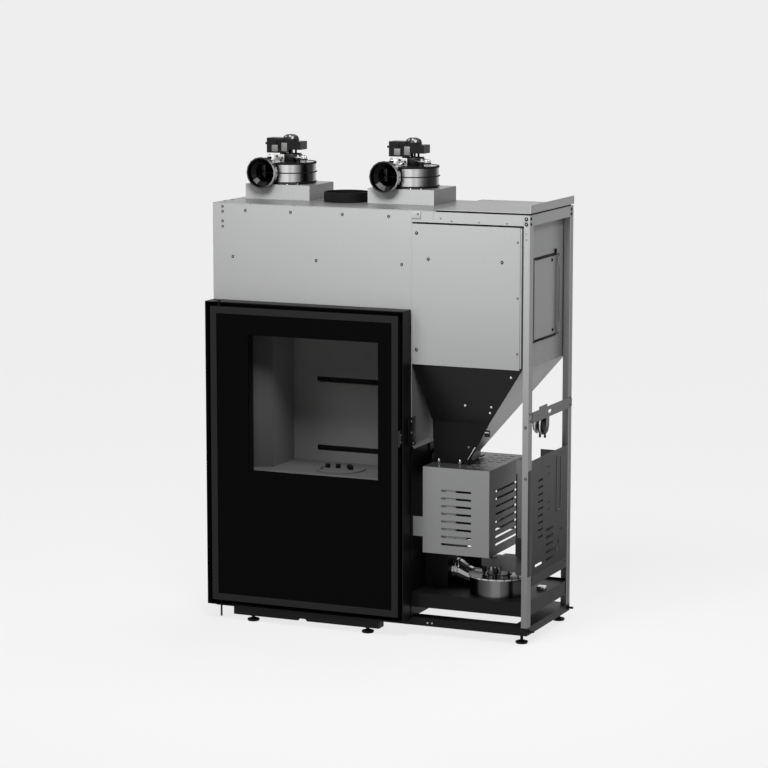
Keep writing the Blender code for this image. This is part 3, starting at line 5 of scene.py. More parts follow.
import bpy
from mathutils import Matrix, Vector


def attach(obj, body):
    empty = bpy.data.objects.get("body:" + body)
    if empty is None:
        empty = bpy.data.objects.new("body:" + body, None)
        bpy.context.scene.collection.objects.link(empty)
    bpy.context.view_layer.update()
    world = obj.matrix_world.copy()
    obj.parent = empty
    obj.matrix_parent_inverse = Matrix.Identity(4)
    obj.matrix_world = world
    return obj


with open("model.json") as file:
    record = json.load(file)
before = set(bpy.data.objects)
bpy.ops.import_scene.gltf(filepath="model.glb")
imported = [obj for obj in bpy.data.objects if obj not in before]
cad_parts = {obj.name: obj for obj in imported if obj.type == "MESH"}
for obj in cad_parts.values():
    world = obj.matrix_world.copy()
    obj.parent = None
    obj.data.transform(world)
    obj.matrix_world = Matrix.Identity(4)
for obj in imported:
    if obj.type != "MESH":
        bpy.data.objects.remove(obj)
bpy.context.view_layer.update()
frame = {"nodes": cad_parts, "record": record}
print("frame loaded")

# Casing millimetres (left edge, front plane, floor) to metres in the frame
casingLeft, casingFront = -0.559, -0.1665


def at(x, y, z):
    return Vector((x / 1000 + casingLeft, y / 1000 + casingFront, z / 1000))


# Shader nodes, added and wired in one call each
def fill(tree, socket, value):
    # Links an output to the socket, or sets a number, direction or colour on it
    if isinstance(value, bpy.types.NodeSocket):
        tree.links.new(value, socket)
    elif value is not None:
        socket.default_value = value


def nodeOf(tree, kind, values):
    node = tree.nodes.new(kind)
    for name, value in values.items():
        fill(tree, node.inputs[name], value)
    return node


def calc(tree, operation, *values, kind="ShaderNodeMath"):
    node = tree.nodes.new(kind)
    node.operation = operation
    for socket, value in zip(node.inputs, values):
        fill(tree, socket, value)
    return node.outputs[0]


def vectorCalc(tree, operation, *values):
    result = calc(tree, operation, *values, kind="ShaderNodeVectorMath")
    return result.node.outputs["Value"] if operation in ("LENGTH", "DOT_PRODUCT") else result


def scaled(tree, vector, factor):
    return vectorCalc(tree, "SCALE", vector, None, None, factor)


def within(tree, value, low, high):
    # 1 where value lies between low and high
    above = calc(tree, "GREATER_THAN", value, low)
    below = calc(tree, "LESS_THAN", value, high)
    return calc(tree, "MULTIPLY", above, below)


def mapped(tree, value, fromLow, fromHigh, toLow, toHigh):
    return nodeOf(tree, "ShaderNodeMapRange", {
        "Value": value, "From Min": fromLow, "From Max": fromHigh, "To Min": toLow, "To Max": toHigh,
    }).outputs[0]


def blended(tree, factor, first, second, kind="RGBA"):
    mix = tree.nodes.new("ShaderNodeMix")
    mix.data_type = kind
    for name, value in (("Factor", factor), ("A", first), ("B", second)):
        fill(tree, mix.inputs[name], value)
    return mix.outputs["Result"]


def shaderMix(tree, factor, first, second):
    mix = tree.nodes.new("ShaderNodeMixShader")
    for socket, value in zip(mix.inputs, (factor, first, second)):
        fill(tree, socket, value)
    return mix.outputs[0]


def noise(tree, vector, scale, detail=2):
    values = {"Vector": vector, "Scale": scale, "Detail": detail}
    return nodeOf(tree, "ShaderNodeTexNoise", values).outputs["Fac"]


def objectPlace(tree):
    return tree.nodes.new("ShaderNodeTexCoord").outputs["Object"]


def facing(tree):
    return tree.nodes.new("ShaderNodeNewGeometry").outputs["Normal"]


def partsOf(tree, vector):
    return nodeOf(tree, "ShaderNodeSeparateXYZ", {"Vector": vector}).outputs


def newMaterial(name):
    material = bpy.data.materials.new(name)
    material.use_nodes = True
    return material, material.node_tree, material.node_tree.nodes["Principled BSDF"]


def newGroup(name, inputs, outputs):
    # inputs: name, kind and value; outputs: name and kind
    group = bpy.data.node_groups.new(name, "ShaderNodeTree")
    for label, kind, value in inputs:
        socket = group.interface.new_socket(label, in_out="INPUT", socket_type="NodeSocket" + kind)
        socket.default_value = value
    for label, kind in outputs:
        group.interface.new_socket(label, in_out="OUTPUT", socket_type="NodeSocket" + kind)
    given = group.nodes.new("NodeGroupInput").outputs
    return group, given, group.nodes.new("NodeGroupOutput").inputs


def useGroup(tree, group, values):
    node = tree.nodes.new("ShaderNodeGroup")
    node.node_tree = group
    for name, value in values.items():
        fill(tree, node.inputs[name], value)
    return node.outputs


# View, floor and light
view = {"place": (3.608, -8.288, 2.174), "lens": 131.81, "pitch": 8.759, "yaw": 23.67}

bpy.ops.object.select_all(action="DESELECT")
bpy.ops.object.camera_add(
    location=view["place"],
    rotation=(math.radians(90 - view["pitch"]), 0, math.radians(view["yaw"])),
)
camera = bpy.context.object
camera.data.sensor_width = 36
camera.data.lens = view["lens"]
bpy.context.scene.camera = camera
bpy.context.scene.view_settings.view_transform = "Standard"

room = {
    "floorSize": 500, "floorDrop": 0.0005, "floorShade": 0.25, "paleGlow": 0.785, "paleShade": 0.12,
    "paleSky": 0.9, "ambient": 0.10,
}


def seenRay(tree):
    # 1 for what is seen directly, in metal or through glass
    path = tree.nodes.new("ShaderNodeLightPath").outputs
    mirrored = calc(tree, "MAXIMUM", path["Is Camera Ray"], path["Is Glossy Ray"])
    return calc(tree, "MAXIMUM", mirrored, path["Is Transmission Ray"])


def paleFloor():
    # Seen directly, in metal or through glass it is pale and keeps the shadow; for bounced light it is grey
    material, tree, shader = newMaterial("studioFloor")
    tree.nodes.remove(shader)
    glow = nodeOf(tree, "ShaderNodeEmission", {"Color": (1, 1, 1, 1), "Strength": room["paleGlow"]})
    pale = nodeOf(tree, "ShaderNodeBsdfDiffuse", {"Color": (*[room["paleShade"]] * 3, 1)})
    plain = nodeOf(tree, "ShaderNodeBsdfDiffuse", {"Color": (*[room["floorShade"]] * 3, 1)})
    seen = tree.nodes.new("ShaderNodeAddShader")
    tree.links.new(glow.outputs[0], seen.inputs[0])
    tree.links.new(pale.outputs[0], seen.inputs[1])
    mix = shaderMix(tree, seenRay(tree), plain.outputs[0], seen.outputs[0])
    tree.links.new(mix, tree.nodes["Material Output"].inputs["Surface"])
    return material


def paleWorld():
    # Plain soft light, and pale like the floor where metal and glass show it
    world = bpy.data.worlds.new("studio")
    bpy.context.scene.world = world
    world.use_nodes = True
    tree = world.node_tree
    soft = tree.nodes["Background"]
    soft.inputs["Color"].default_value = (1, 1, 1, 1)
    soft.inputs["Strength"].default_value = room["ambient"]
    pale = nodeOf(tree, "ShaderNodeBackground", {"Color": (1, 1, 1, 1), "Strength": room["paleSky"]})
    mix = shaderMix(tree, seenRay(tree), soft.outputs[0], pale.outputs[0])
    tree.links.new(mix, tree.nodes["World Output"].inputs["Surface"])


paleWorld()

bpy.ops.mesh.primitive_plane_add(size=room["floorSize"], location=(0, 0, -room["floorDrop"]))
floor = bpy.context.object
floor.name = "studioFloor"
floor.data.materials.append(paleFloor())

suns = [
    # name, turn round the object (0 is the front, plus is to the right), height, strength, softness
    ("keySun", -30, 36, 0.62, 24),
    ("backSun", 165, 62, 1.3, 30),
]
for name, turn, height, strength, softness in suns:
    bpy.ops.object.light_add(type="SUN")
    sun = bpy.context.object
    sun.name = name
    sun.data.energy = strength
    sun.data.angle = math.radians(softness)
    sun.rotation_euler = (math.radians(90 - height), 0, math.radians(turn))
softboxes = [
    # name, place, aim, size, power; both hang high, so that their light fades towards the floor
    ("frontBox", (0.3, -1.45, 2.9), (0, 0, 1.1), 0.9, 60),
    ("rightBox", (1.7, 0.1, 2.6), (0.4, 0, 1.0), 0.6, 11),
]
for name, place, aim, size, power in softboxes:
    bpy.ops.object.light_add(type="AREA", location=place)
    lamp = bpy.context.object
    lamp.name = name
    lamp.data.size = size
    lamp.data.energy = power
    lamp.rotation_euler = (Vector(aim) - lamp.location).to_track_quat("-Z", "Y").to_euler()
print("view, floor and light set")

# Effects that several finishes share
grainLook = {"detail": 3, "broadSize": 2.2, "gloss": 0.25, "bumpStrength": 0.15, "bumpDistance": 0.001}


def sheetGrainGroup():
    # Fine grain: a slight change of shade, gloss and height, at a stated size
    group, given, result = newGroup(
        "sheetGrain",
        [
            ("Size", "Float", 300), ("Shade", "Float", 0.06),
            ("Height", "Float", 0.02), ("Stretch", "Float", 1),
        ],
        [("Tone", "Float"), ("Gloss", "Float"), ("Bump", "Float")],
    )
    place = objectPlace(group)
    stretch = nodeOf(group, "ShaderNodeCombineXYZ", {"X": 1, "Y": 1, "Z": given["Stretch"]})
    stretched = vectorCalc(group, "MULTIPLY", place, stretch.outputs[0])
    fine = noise(group, stretched, given["Size"], grainLook["detail"])
    broad = noise(group, place, grainLook["broadSize"])
    centred = calc(group, "SUBTRACT", calc(group, "ADD", fine, broad), 1)
    fill(group, result["Tone"], calc(group, "MULTIPLY_ADD", centred, given["Shade"], 1))
    fill(group, result["Gloss"], calc(group, "MULTIPLY", centred, grainLook["gloss"]))
    fill(group, result["Bump"], calc(group, "MULTIPLY", fine, given["Height"]))
    return group


def paintedRoomShadeGroup():
    # Painted shade: a factor that darkens sheet metal where it faces up, right or forward and towards its
    # foot, standing in for the dark ceiling, the darker right and the dark foot of the room it would mirror
    names = ("Up", "Side", "Front", "Foot")
    group, given, result = newGroup(
        "paintedRoomShade", [(name, "Float", 1) for name in names], [("Factor", "Float")],
    )
    height = partsOf(group, objectPlace(group))["Z"]
    normal = partsOf(group, facing(group))
    factor = None
    for name, value, start, end in (
        ("Up", normal["Z"], 0.3, 0.9), ("Side", normal["X"], 0.2, 0.9),
        ("Front", normal["Y"], -0.7, -0.98), ("Foot", height, 1.1, 0.15),
    ):
        share = mapped(group, value, start, end, 1, given[name])
        factor = share if factor is None else calc(group, "MULTIPLY", factor, share)
    fill(group, result["Factor"], factor)
    return group


def awayFrom(tree, given, across):
    # From the axis to the surface, in the directions across the axis
    away = vectorCalc(tree, "SUBTRACT", objectPlace(tree), given["Axis"])
    return vectorCalc(tree, "MULTIPLY", away, across)


def roundNormalGroup():
    # Turns the normal of a flat-sided round wall to its true direction from the axis
    group, given, result = newGroup(
        "roundNormal",
        [
            ("Normal", "Vector", (0, 0, 1)), ("Axis", "Vector", (0, 0, 0)),
            ("Across", "Vector", (1, 1, 0)), ("Radius", "Float", 0.05), ("Reach", "Float", 0.004),
        ],
        [("Normal", "Vector")],
    )
    flat = awayFrom(group, given, given["Across"])
    distance = vectorCalc(group, "LENGTH", flat)
    outward = vectorCalc(group, "NORMALIZE", flat)
    along = vectorCalc(group, "DOT_PRODUCT", outward, facing(group))
    wall = calc(group, "GREATER_THAN", calc(group, "ABSOLUTE", along), 0.8)  # not the flat ends
    near = calc(group, "COMPARE", distance, given["Radius"], given["Reach"])
    mask = calc(group, "MULTIPLY", wall, near)
    trueNormal = scaled(group, outward, calc(group, "SIGN", along))
    fill(group, result["Normal"], blended(group, mask, given["Normal"], trueNormal, "VECTOR"))
    return group


def insideMaskGroup():
    # 1 on surfaces that face a level axis along Y and lie within a radius of it
    group, given, result = newGroup(
        "insideMask", [("Axis", "Vector", (0, 0, 0)), ("Radius", "Float", 0.05)], [("Mask", "Float")],
    )
    flat = awayFrom(group, given, (1, 0, 1))
    near = calc(group, "LESS_THAN", vectorCalc(group, "LENGTH", flat), given["Radius"])
    inward = calc(group, "LESS_THAN", vectorCalc(group, "DOT_PRODUCT", flat, facing(group)), -0.0005)
    fill(group, result["Mask"], calc(group, "MULTIPLY", near, inward))
    return group


sheetGrain = sheetGrainGroup()
paintedRoomShade = paintedRoomShadeGroup()
roundNormal = roundNormalGroup()
insideMask = insideMaskGroup()

# Finishes; up, side, front and foot are painted shade, which darkens the colour where it faces up, right or
# forward, or stands low
finishes = {
    "galvanisedSheet": {
        "colour": (0.47, 0.474, 0.474), "rough": 0.30, "metal": 0.08, "shine": 0.22,
        "up": 0.25, "side": 0.8, "foot": 0.58,
    },
    "guardSheet": {
        "colour": (0.36, 0.363, 0.363), "rough": 0.34, "metal": 0.08, "shine": 0.22,
        "up": 0.12, "side": 0.42, "foot": 0.8,
    },
    "plinthSheet": {
        "colour": (0.47, 0.474, 0.474), "rough": 0.30, "metal": 0.08, "shine": 0.22,
        "up": 0.25, "side": 0.36,
    },
    "controlSheet": {
        "colour": (0.42, 0.423, 0.423), "rough": 0.5, "shine": 0.04, "up": 0.4, "side": 0.8, "foot": 0.1,
    },
    "crossbarSheet": {
        "colour": (0.24, 0.242, 0.242), "rough": 0.4, "metal": 0.08, "shine": 0.2, "up": 0.5, "side": 0.6,
    },
    "blackCoat": {"colour": (0.005, 0.005, 0.0052), "rough": 0.46, "shine": 0.14, "mottle": 0.12},
    # painted dark reflection, as on the funnel's front
    "funnelPaintedDark": {"colour": (0.0040, 0.0040, 0.0042), "rough": 0.46, "shine": 0.14, "mottle": 0.12},
    "rawIron": {"colour": (0.03, 0.03, 0.029), "rough": 0.75, "metal": 0.4, "grain": 260, "mottle": 0.30},
    "doorBorder": {"colour": (0.012, 0.012, 0.0123), "rough": 0.40, "shine": 0.18, "mottle": 0.05},
    "ropeSeal": {"colour": (0.02, 0.02, 0.02), "rough": 0.9, "grain": 700, "mottle": 0.35, "relief": 0.8},
    "linerBoard": {
        "colour": (0.62, 0.62, 0.615), "rough": 0.88, "grain": 160, "mottle": 0.16, "relief": 0.35,
        "up": 0.5, "foot": 0.1,
    },
    # the left liner wall: linerBoard's material, darker, with painted shade where it faces forward
    "linerSide": {
        "colour": (0.44, 0.44, 0.436), "rough": 0.88, "grain": 160, "mottle": 0.16, "relief": 0.35,
        "up": 0.5, "front": 0.42, "foot": 0.15,
    },
    "potGrey": {"colour": (0.13, 0.13, 0.128), "rough": 0.7, "mottle": 0.3, "grain": 200},
    "brightSteel": {"colour": (0.36, 0.36, 0.36), "rough": 0.22, "metal": 1, "grain": 120, "stretch": 12},
    "motorCore": {
        "colour": (0.006, 0.006, 0.006), "rough": 0.38, "shine": 0.2, "mottle": 0.2, "stretch": 9,
    },
    "blackPlastic": {"colour": (0.008, 0.008, 0.008), "rough": 0.42, "shine": 0.2, "mottle": 0.10},
    "screwBlack": {"colour": (0.012, 0.012, 0.012), "rough": 0.30, "metal": 0.5, "mottle": 0.10},
    "zincBright": {"colour": (0.66, 0.66, 0.65), "rough": 0.24, "metal": 0.95, "mottle": 0.10},
    "motorGrey": {"colour": (0.09, 0.09, 0.09), "rough": 0.4, "metal": 0.2, "mottle": 0.4, "grain": 60},
    "zincSatin": {"colour": (0.70, 0.70, 0.695), "rough": 0.34, "metal": 0.25, "mottle": 0.15},
    # near black, for black parts and for painted shade in gaps, slots and along hems
    "packing": {"colour": (0.004, 0.004, 0.004), "rough": 0.7, "shine": 0.1, "mottle": 0.2},
    # dark grey, used for painted shade on the post's side and in the cover's side gap, and for the door
    # latch
    "shadeGrey": {"colour": (0.05, 0.05, 0.05), "rough": 0.6, "shine": 0.2},
    "coilGrey": {"colour": (0.20, 0.20, 0.195), "rough": 0.45, "metal": 0.3, "mottle": 0.3, "stretch": 9},
}
plainFinish = {
    "metal": 0, "shine": 0.5, "grain": 420, "mottle": 0.06, "relief": 0.10, "stretch": 1,
    "up": 1, "side": 1, "front": 1, "foot": 1,
}


def makeFinish(finish, name=None):
    look = {**plainFinish, **finishes[finish]}
    material, tree, shader = newMaterial(name or finish)
    shader.inputs["Metallic"].default_value = look["metal"]
    shader.inputs["Specular IOR Level"].default_value = look["shine"]
    grain = useGroup(tree, sheetGrain, {
        "Size": look["grain"], "Shade": look["mottle"],
        "Height": look["relief"], "Stretch": look["stretch"],
    })
    tone = grain["Tone"]
    # painted shade: the colour darkened by the way it faces and by its height
    if look["up"] < 1:
        shade = useGroup(tree, paintedRoomShade, {
            "Up": look["up"], "Side": look["side"], "Front": look["front"], "Foot": look["foot"],
        })
        tone = calc(tree, "MULTIPLY", tone, shade["Factor"])
    base = tree.nodes.new("ShaderNodeRGB")
    base.outputs[0].default_value = (*look["colour"], 1)
    fill(tree, shader.inputs["Base Color"], scaled(tree, base.outputs[0], tone))
    fill(tree, shader.inputs["Roughness"], calc(tree, "ADD", grain["Gloss"], look["rough"]))
    bump = nodeOf(tree, "ShaderNodeBump", {
        "Strength": grainLook["bumpStrength"], "Distance": grainLook["bumpDistance"],
        "Height": grain["Bump"],
    })
    fill(tree, shader.inputs["Normal"], bump.outputs[0])
    return material


def smoothWalls(material, walls):
    # walls: (point on the axis, directions across it, radius, reach) in casing millimetres
    tree = material.node_tree
    normal = facing(tree)
    for point, across, radius, reach in walls:
        normal = useGroup(tree, roundNormal, {
            "Normal": normal, "Axis": at(*point), "Across": across,
            "Radius": radius / 1000, "Reach": reach / 1000,
        })["Normal"]
    fill(tree, tree.nodes["Bump"].inputs["Normal"], normal)
    return normal


# Painted dark reflection on the funnel's forward, downward faces, within a band of height
hopperFrontShade = {"shade": 0.0095, "low": 0.672, "high": 0.884, "forward": -0.4, "hanging": 0.1}


def hopperFinish():
    # The hopper is galvanised; the forward and downward faces of its funnel get a painted dark reflection
    material = makeFinish("galvanisedSheet", "hopperSheet")
    tree = material.node_tree
    colour = tree.nodes["Principled BSDF"].inputs["Base Color"]
    normal = partsOf(tree, facing(tree))
    forward = calc(tree, "LESS_THAN", normal["Y"], hopperFrontShade["forward"])
    hanging = calc(tree, "LESS_THAN", normal["Z"], hopperFrontShade["hanging"])
    band = within(tree, partsOf(tree, objectPlace(tree))["Z"], hopperFrontShade["low"], hopperFrontShade["high"])
    paintedDark = calc(tree, "MULTIPLY", calc(tree, "MULTIPLY", forward, hanging), band)
    dark = (*[hopperFrontShade["shade"]] * 3, 1)
    fill(tree, colour, blended(tree, paintedDark, colour.links[0].from_socket, dark))
    return material


doorWindow = {
    "left": 153, "right": 612, "bottom": 505, "top": 948, "clearness": 0.90, "shine": 0.035,
    "printed": (0.0014, 0.0014, 0.0016, 1), "clear": (0.004, 0.004, 0.004, 1),
    "smearSize": 3, "smear": 0.06, "rough": 0.05,
}


def printedGlass():
    # Black printed glass with a clear window; the window lets the fire show
    pane = doorWindow
    material, tree, shader = newMaterial("printedGlass")
    shader.inputs["Specular IOR Level"].default_value = pane["shine"]
    place = objectPlace(tree)
    parts = partsOf(tree, place)
    low = at(pane["left"], 0, pane["bottom"])
    high = at(pane["right"], 0, pane["top"])
    across = within(tree, parts["X"], low.x, high.x)
    upright = within(tree, parts["Z"], low.z, high.z)
    window = calc(tree, "MULTIPLY", across, upright)
    fill(tree, shader.inputs["Alpha"], calc(tree, "MULTIPLY_ADD", window, -pane["clearness"], 1))
    smear = noise(tree, place, pane["smearSize"])
    rough = calc(tree, "MULTIPLY_ADD", smear, pane["smear"], pane["rough"])
    fill(tree, shader.inputs["Roughness"], rough)
    fill(tree, shader.inputs["Base Color"], blended(tree, window, pane["printed"], pane["clear"]))
    return material


# Painted reflection: the bright steel's shade by the way it faces, in degrees to the right of the front
drumReflectionBands = [
    (-60, 0.06), (-6, 0.10), (3, 0.55), (20, 0.80), (26, 0.52), (32, 0.66), (41, 0.30), (50, 0.10),
    (60, 0.03), (84, 0.025), (94, 0.22), (104, 0.36), (130, 0.10),
]
fanReflectionBands = [
    (-66, 0.02), (-40, 0.03), (-17, 0.05), (0, 0.10), (9, 0.18), (21, 0.18), (23, 0.11), (36, 0.06),
    (60, 0.035), (90, 0.008),
]
roundWalls = {
    # name: (point on the axis, directions across it, radius, reach)
    "drum": ((150, 266, 0), (1, 1, 0), 88, 4), "spigot": ((104, 0, 1455.3), (1, 0, 1), 49, 5),
    "fan": ((962, 114, 0), (1, 1, 0), 95, 4), "collar": ((382, 212, 0), (1, 1, 0), 75, 5),
}
# Painted shade and highlight on the spigot: dark in its bore, dark on its front with a lighter right edge
spigotLook = {
    "bore": 0.0485, "boreShade": (0.011, 0.011, 0.011, 1), "back": 168,
    "rimFrom": 0.020, "rimTo": 0.050, "rimDark": 0.06, "rimLight": 0.42,
}
blowerPitch = 440
blowerSides = (("Left", 0), ("Right", blowerPitch))


def drumFinish(name, bands, walls, spigotAxis=None):
    # Bright steel with painted reflection: a shade by the way it faces stands in for the dark side of the
    # room to its right
    material = makeFinish("brightSteel", name)
    tree = material.node_tree
    normal = partsOf(tree, smoothWalls(material, walls))
    turn = calc(tree, "ARCTAN2", normal["X"], calc(tree, "MULTIPLY", normal["Y"], -1))
    ramp = nodeOf(tree, "ShaderNodeValToRGB", {"Fac": calc(tree, "MULTIPLY_ADD", turn, 1 / math.tau, 0.5)})
    stops = ramp.color_ramp.elements
    for index, (angle, shade) in enumerate(bands):
        spot = angle / 360 + 0.5
        stop = stops[index] if index < 2 else stops.new(spot)
        stop.position = spot
        stop.color = (shade, shade, shade, 1)
    colour = ramp.outputs["Color"]
    if spigotAxis:
        # Painted shade on the spigot: dark but for a painted highlight on its right edge, and dark inside
        # its bore
        look = spigotLook
        axis = at(*spigotAxis)
        place = partsOf(tree, objectPlace(tree))
        ahead = calc(tree, "LESS_THAN", place["Y"], at(0, look["back"], 0).y)
        rim = mapped(
            tree, place["X"], axis.x + look["rimFrom"], axis.x + look["rimTo"],
            look["rimDark"], look["rimLight"],
        )
        bore = useGroup(tree, insideMask, {"Axis": axis, "Radius": look["bore"]})["Mask"]
        colour = blended(tree, bore, blended(tree, ahead, colour, rim), look["boreShade"])
    fill(tree, tree.nodes["Principled BSDF"].inputs["Base Color"], colour)
    return material


def wallAt(name, shift):
    (x, y, z), *rest = roundWalls[name]
    return ((x + shift, y, z), *rest)


materials = {name: makeFinish(name) for name in finishes}
for side, shift in blowerSides:
    drumWalls = [wallAt("drum", shift), wallAt("spigot", shift)]
    materials["drumSteel" + side] = drumFinish("drumSteel" + side, drumReflectionBands, drumWalls, drumWalls[1][0])
materials["fanSteel"] = drumFinish("fanSteel", fanReflectionBands, [roundWalls["fan"]])
materials["collarBlack"] = makeFinish("blackCoat", "collarBlack")
smoothWalls(materials["collarBlack"], [roundWalls["collar"]])
materials["hopperSheet"] = hopperFinish()
materials["printedGlass"] = printedGlass()

slotFinish = {
    "galvanised": "galvanisedSheet", "guard_grey": "guardSheet", "black_steel": "blackCoat",
    "cast_iron": "rawIron", "door_frame": "doorBorder", "door_glass": "printedGlass",
    "rope_seal": "ropeSeal", "liner": "linerBoard", "bright_steel": "brightSteel",
    "motor_black": "motorCore", "plastic_black": "blackPlastic",
}
ownFinish = {
    "hopper_body": "hopperSheet", "door_hinge_pin": "blackPlastic", "door_latch": "shadeGrey",
    "blower_housing_left": "drumSteelLeft", "blower_housing_right": "drumSteelRight",
    "blower_plinth_left": "plinthSheet", "blower_plinth_right": "plinthSheet",
    "blower_wheel_left": "packing", "blower_wheel_right": "packing",
    "fume_fan_housing": "fanSteel", "fume_fan_motor": "motorGrey", "flue_collar": "collarBlack",
    "control_side_panel": "controlSheet", "side_crossbar": "crossbarSheet",
    "liner_left": "linerSide", "burn_pot": "potGrey",
}
for entry in frame["record"]["subparts"]:
    node = frame["nodes"][entry["node"]]
    finish = ownFinish.get(entry["node"], slotFinish[entry["material_slot"]])
    node.data.materials.clear()
    node.data.materials.append(materials[finish])
print("finishes on", len(frame["nodes"]), "nodes")


# Making pieces; sizes and places are in casing millimetres
def startClean():
    if bpy.context.object and bpy.context.object.mode != "OBJECT":
        bpy.ops.object.mode_set(mode="OBJECT")
    bpy.ops.object.select_all(action="DESELECT")


def only(piece):
    startClean()
    piece.select_set(True)
    bpy.context.view_layer.objects.active = piece


def circle(name, radius, height, sides, fillType):
    # A circle round Z, selected in edit mode
    startClean()
    bpy.ops.mesh.primitive_circle_add(
        vertices=sides, radius=radius / 1000, fill_type=fillType, location=(0, 0, height / 1000),
    )
    piece = bpy.context.object
    piece.name = name
    bpy.ops.object.transform_apply(location=True, rotation=True, scale=True)
    bpy.ops.object.mode_set(mode="EDIT")
    bpy.ops.mesh.select_all(action="SELECT")
    return piece


def drawOut(radius, height, rings):
    # Extrudes the selection from one ring through the next (radius, height) rings
    for nextRadius, nextHeight in rings:
        lift = (nextHeight - height) / 1000
        bpy.ops.mesh.extrude_region_move(TRANSFORM_OT_translate={"value": (0, 0, lift)})
        grow = nextRadius / radius
        bpy.ops.transform.resize(value=(grow, grow, 1), center_override=(0, 0, nextHeight / 1000))
        radius, height = nextRadius, nextHeight
    bpy.ops.mesh.select_all(action="SELECT")


def closeUp():
    bpy.ops.mesh.normals_make_consistent(inside=False)
    bpy.ops.object.mode_set(mode="OBJECT")


def turned(name, rings, sides=24):
    # A turned piece along Z from (radius, height) rings, as a closed solid at the origin
    piece = circle(name, *rings[0], sides, "NGON")
    drawOut(*rings[0], rings[1:])
    closeUp()
    return piece


def bandRing(name, rings, sides, wall=0.6):
    # A closed ring round Z: out along the given (radius, height) rings, back inside them
    inner, foot, top = rings[0][0] - wall, rings[0][1], rings[-1][1]
    piece = circle(name, inner, foot, sides, "NOTHING")
    drawOut(inner, foot, [*rings, (inner, top), (inner, foot)])
    bpy.ops.mesh.remove_doubles(threshold=0.00001)
    closeUp()
    return piece


def block(name, low, high):
    startClean()
    first, second = at(*low), at(*high)
    bpy.ops.mesh.primitive_cube_add(size=1, location=(first + second) / 2)
    piece = bpy.context.object
    piece.name = name
    piece.scale = second - first
    bpy.ops.object.transform_apply(location=True, rotation=True, scale=True)
    return piece


def softened(piece, edge, steps=2):
    soft = piece.modifiers.new("roundedEdges", "BEVEL")
    soft.width = edge / 1000
    soft.segments = steps
    bpy.ops.object.modifier_apply(modifier=soft.name)
    return piece


def copyOf(piece):
    twin = piece.copy()
    twin.data = piece.data.copy()
    bpy.context.collection.objects.link(twin)
    return twin


def shifted(piece, x, y, z):
    only(piece)
    piece.location = Vector((x, y, z)) / 1000
    bpy.ops.object.transform_apply(location=True, rotation=False, scale=False)
    return piece


directions = {"z": (0, 0, 1), "x": (1, 0, 0), "-x": (-1, 0, 0), "-y": (0, -1, 0)}


def stand(piece, point, way="z"):
    # Stands a piece made at the origin on point, its +Z turned the given way
    only(piece)
    way = Vector(directions[way] if isinstance(way, str) else way)
    piece.rotation_euler = way.to_track_quat("Z", "Y").to_euler()
    piece.location = at(*point)
    bpy.ops.object.transform_apply(location=True, rotation=True, scale=True)
    return piece


def joined(name, parts):
    startClean()
    for part in parts:
        part.select_set(True)
    bpy.context.view_layer.objects.active = parts[0]
    if len(parts) > 1:
        bpy.ops.object.join()
    parts[0].name = name
    return parts[0]


def spread(name, model, points, way="z"):
    # The model and its copies, one on each point, as one piece
    parts = [model] + [copyOf(model) for _ in points[1:]]
    return joined(name, [stand(part, point, way) for part, point in zip(parts, points)])


def finished(piece, finish, body="frame", angle=40):
    only(piece)
    bpy.ops.object.shade_smooth_by_angle(angle=math.radians(angle))
    piece.data.materials.clear()
    piece.data.materials.append(materials[finish])
    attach(piece, body)
    return piece


def bar(name, low, high, finish, slotName, edge=0.4, body="frame", steps=2):
    # A block with rounded edges as a whole piece
    return finished(softened(block(name, low, high), edge, steps), finish, body)


def bars(entries):
    for name, entry in entries.items():
        bar(name, *entry)


# Screws
screwHead = {"radius": 4.6, "height": 2.4, "socketRadius": 2.1, "socketDepth": 1.4, "sides": 16}


def screwHeads(name, points, way, scale=1.0):
    radius, height = screwHead["radius"] * scale, screwHead["height"] * scale
    socket, depth = screwHead["socketRadius"] * scale, screwHead["socketDepth"] * scale
    head = turned("screwShape", [
        (radius, -0.2), (radius, height * 0.45), (radius * 0.8, height * 0.9), (radius * 0.62, height),
        (socket, height), (socket * 0.9, height - depth),
    ], screwHead["sides"])
    return spread(name, head, points, way)


def screwRow(name, points, way, finish, scale=1.0, body="frame"):
    return finished(screwHeads(name, points, way, scale), finish, body)


def socketRow(name, points, way, scale):
    # Bright bottoms of the screws' sockets
    radius = screwHead["socketRadius"] * scale
    low = (screwHead["height"] - screwHead["socketDepth"]) * scale + 0.05
    base = turned("socketFloor", [
        (radius * 0.86, low), (radius * 0.86, low + 0.5), (radius * 0.6, low + 0.8),
    ], 12)
    return finished(spread(name, base, points, way), "zincBright")


print("piece making ready")

# Screws on the sheet metal
casingScrews = {
    # name: (size of the heads, finish, places on the front)
    "top": (1.0, "screwBlack", [(118, 1345.5), (280, 1345.5), (462, 1345.5), (623, 1345.5)]),
    "left": (0.9, "screwBlack", [(35.7, 1355.6), (35.7, 1339.7), (35.7, 1308.5), (35.7, 1291.5)]),
    "middle": (1.0, "screwBlack", [(72, 1194), (370, 1194), (668, 1194)]),
    "cover": (1.1, "screwBlack", [(719, 1296), (759, 1215.4), (1008, 1215.4), (719, 925.6)]),
    "coverEdge": (0.8, "coilGrey", [(1060.5, 1280), (1060.5, 1106), (1060.5, 930.6)]),
    "rail": (0.62, "coilGrey", [(801, 1345.6), (838, 1337), (930.3, 1337), (1023.4, 1337)]),
    "postTop": (1.3, "screwBlack", [(1088, 1353.2), (1088, 1337.4)]),
    "post": (0.95, "screwBlack", [(1090, 699.5), (1092, 536.5)]),
    "postSmall": (0.5, "coilGrey", [(1088, 1307.3), (1088, 1288.9)]),
}
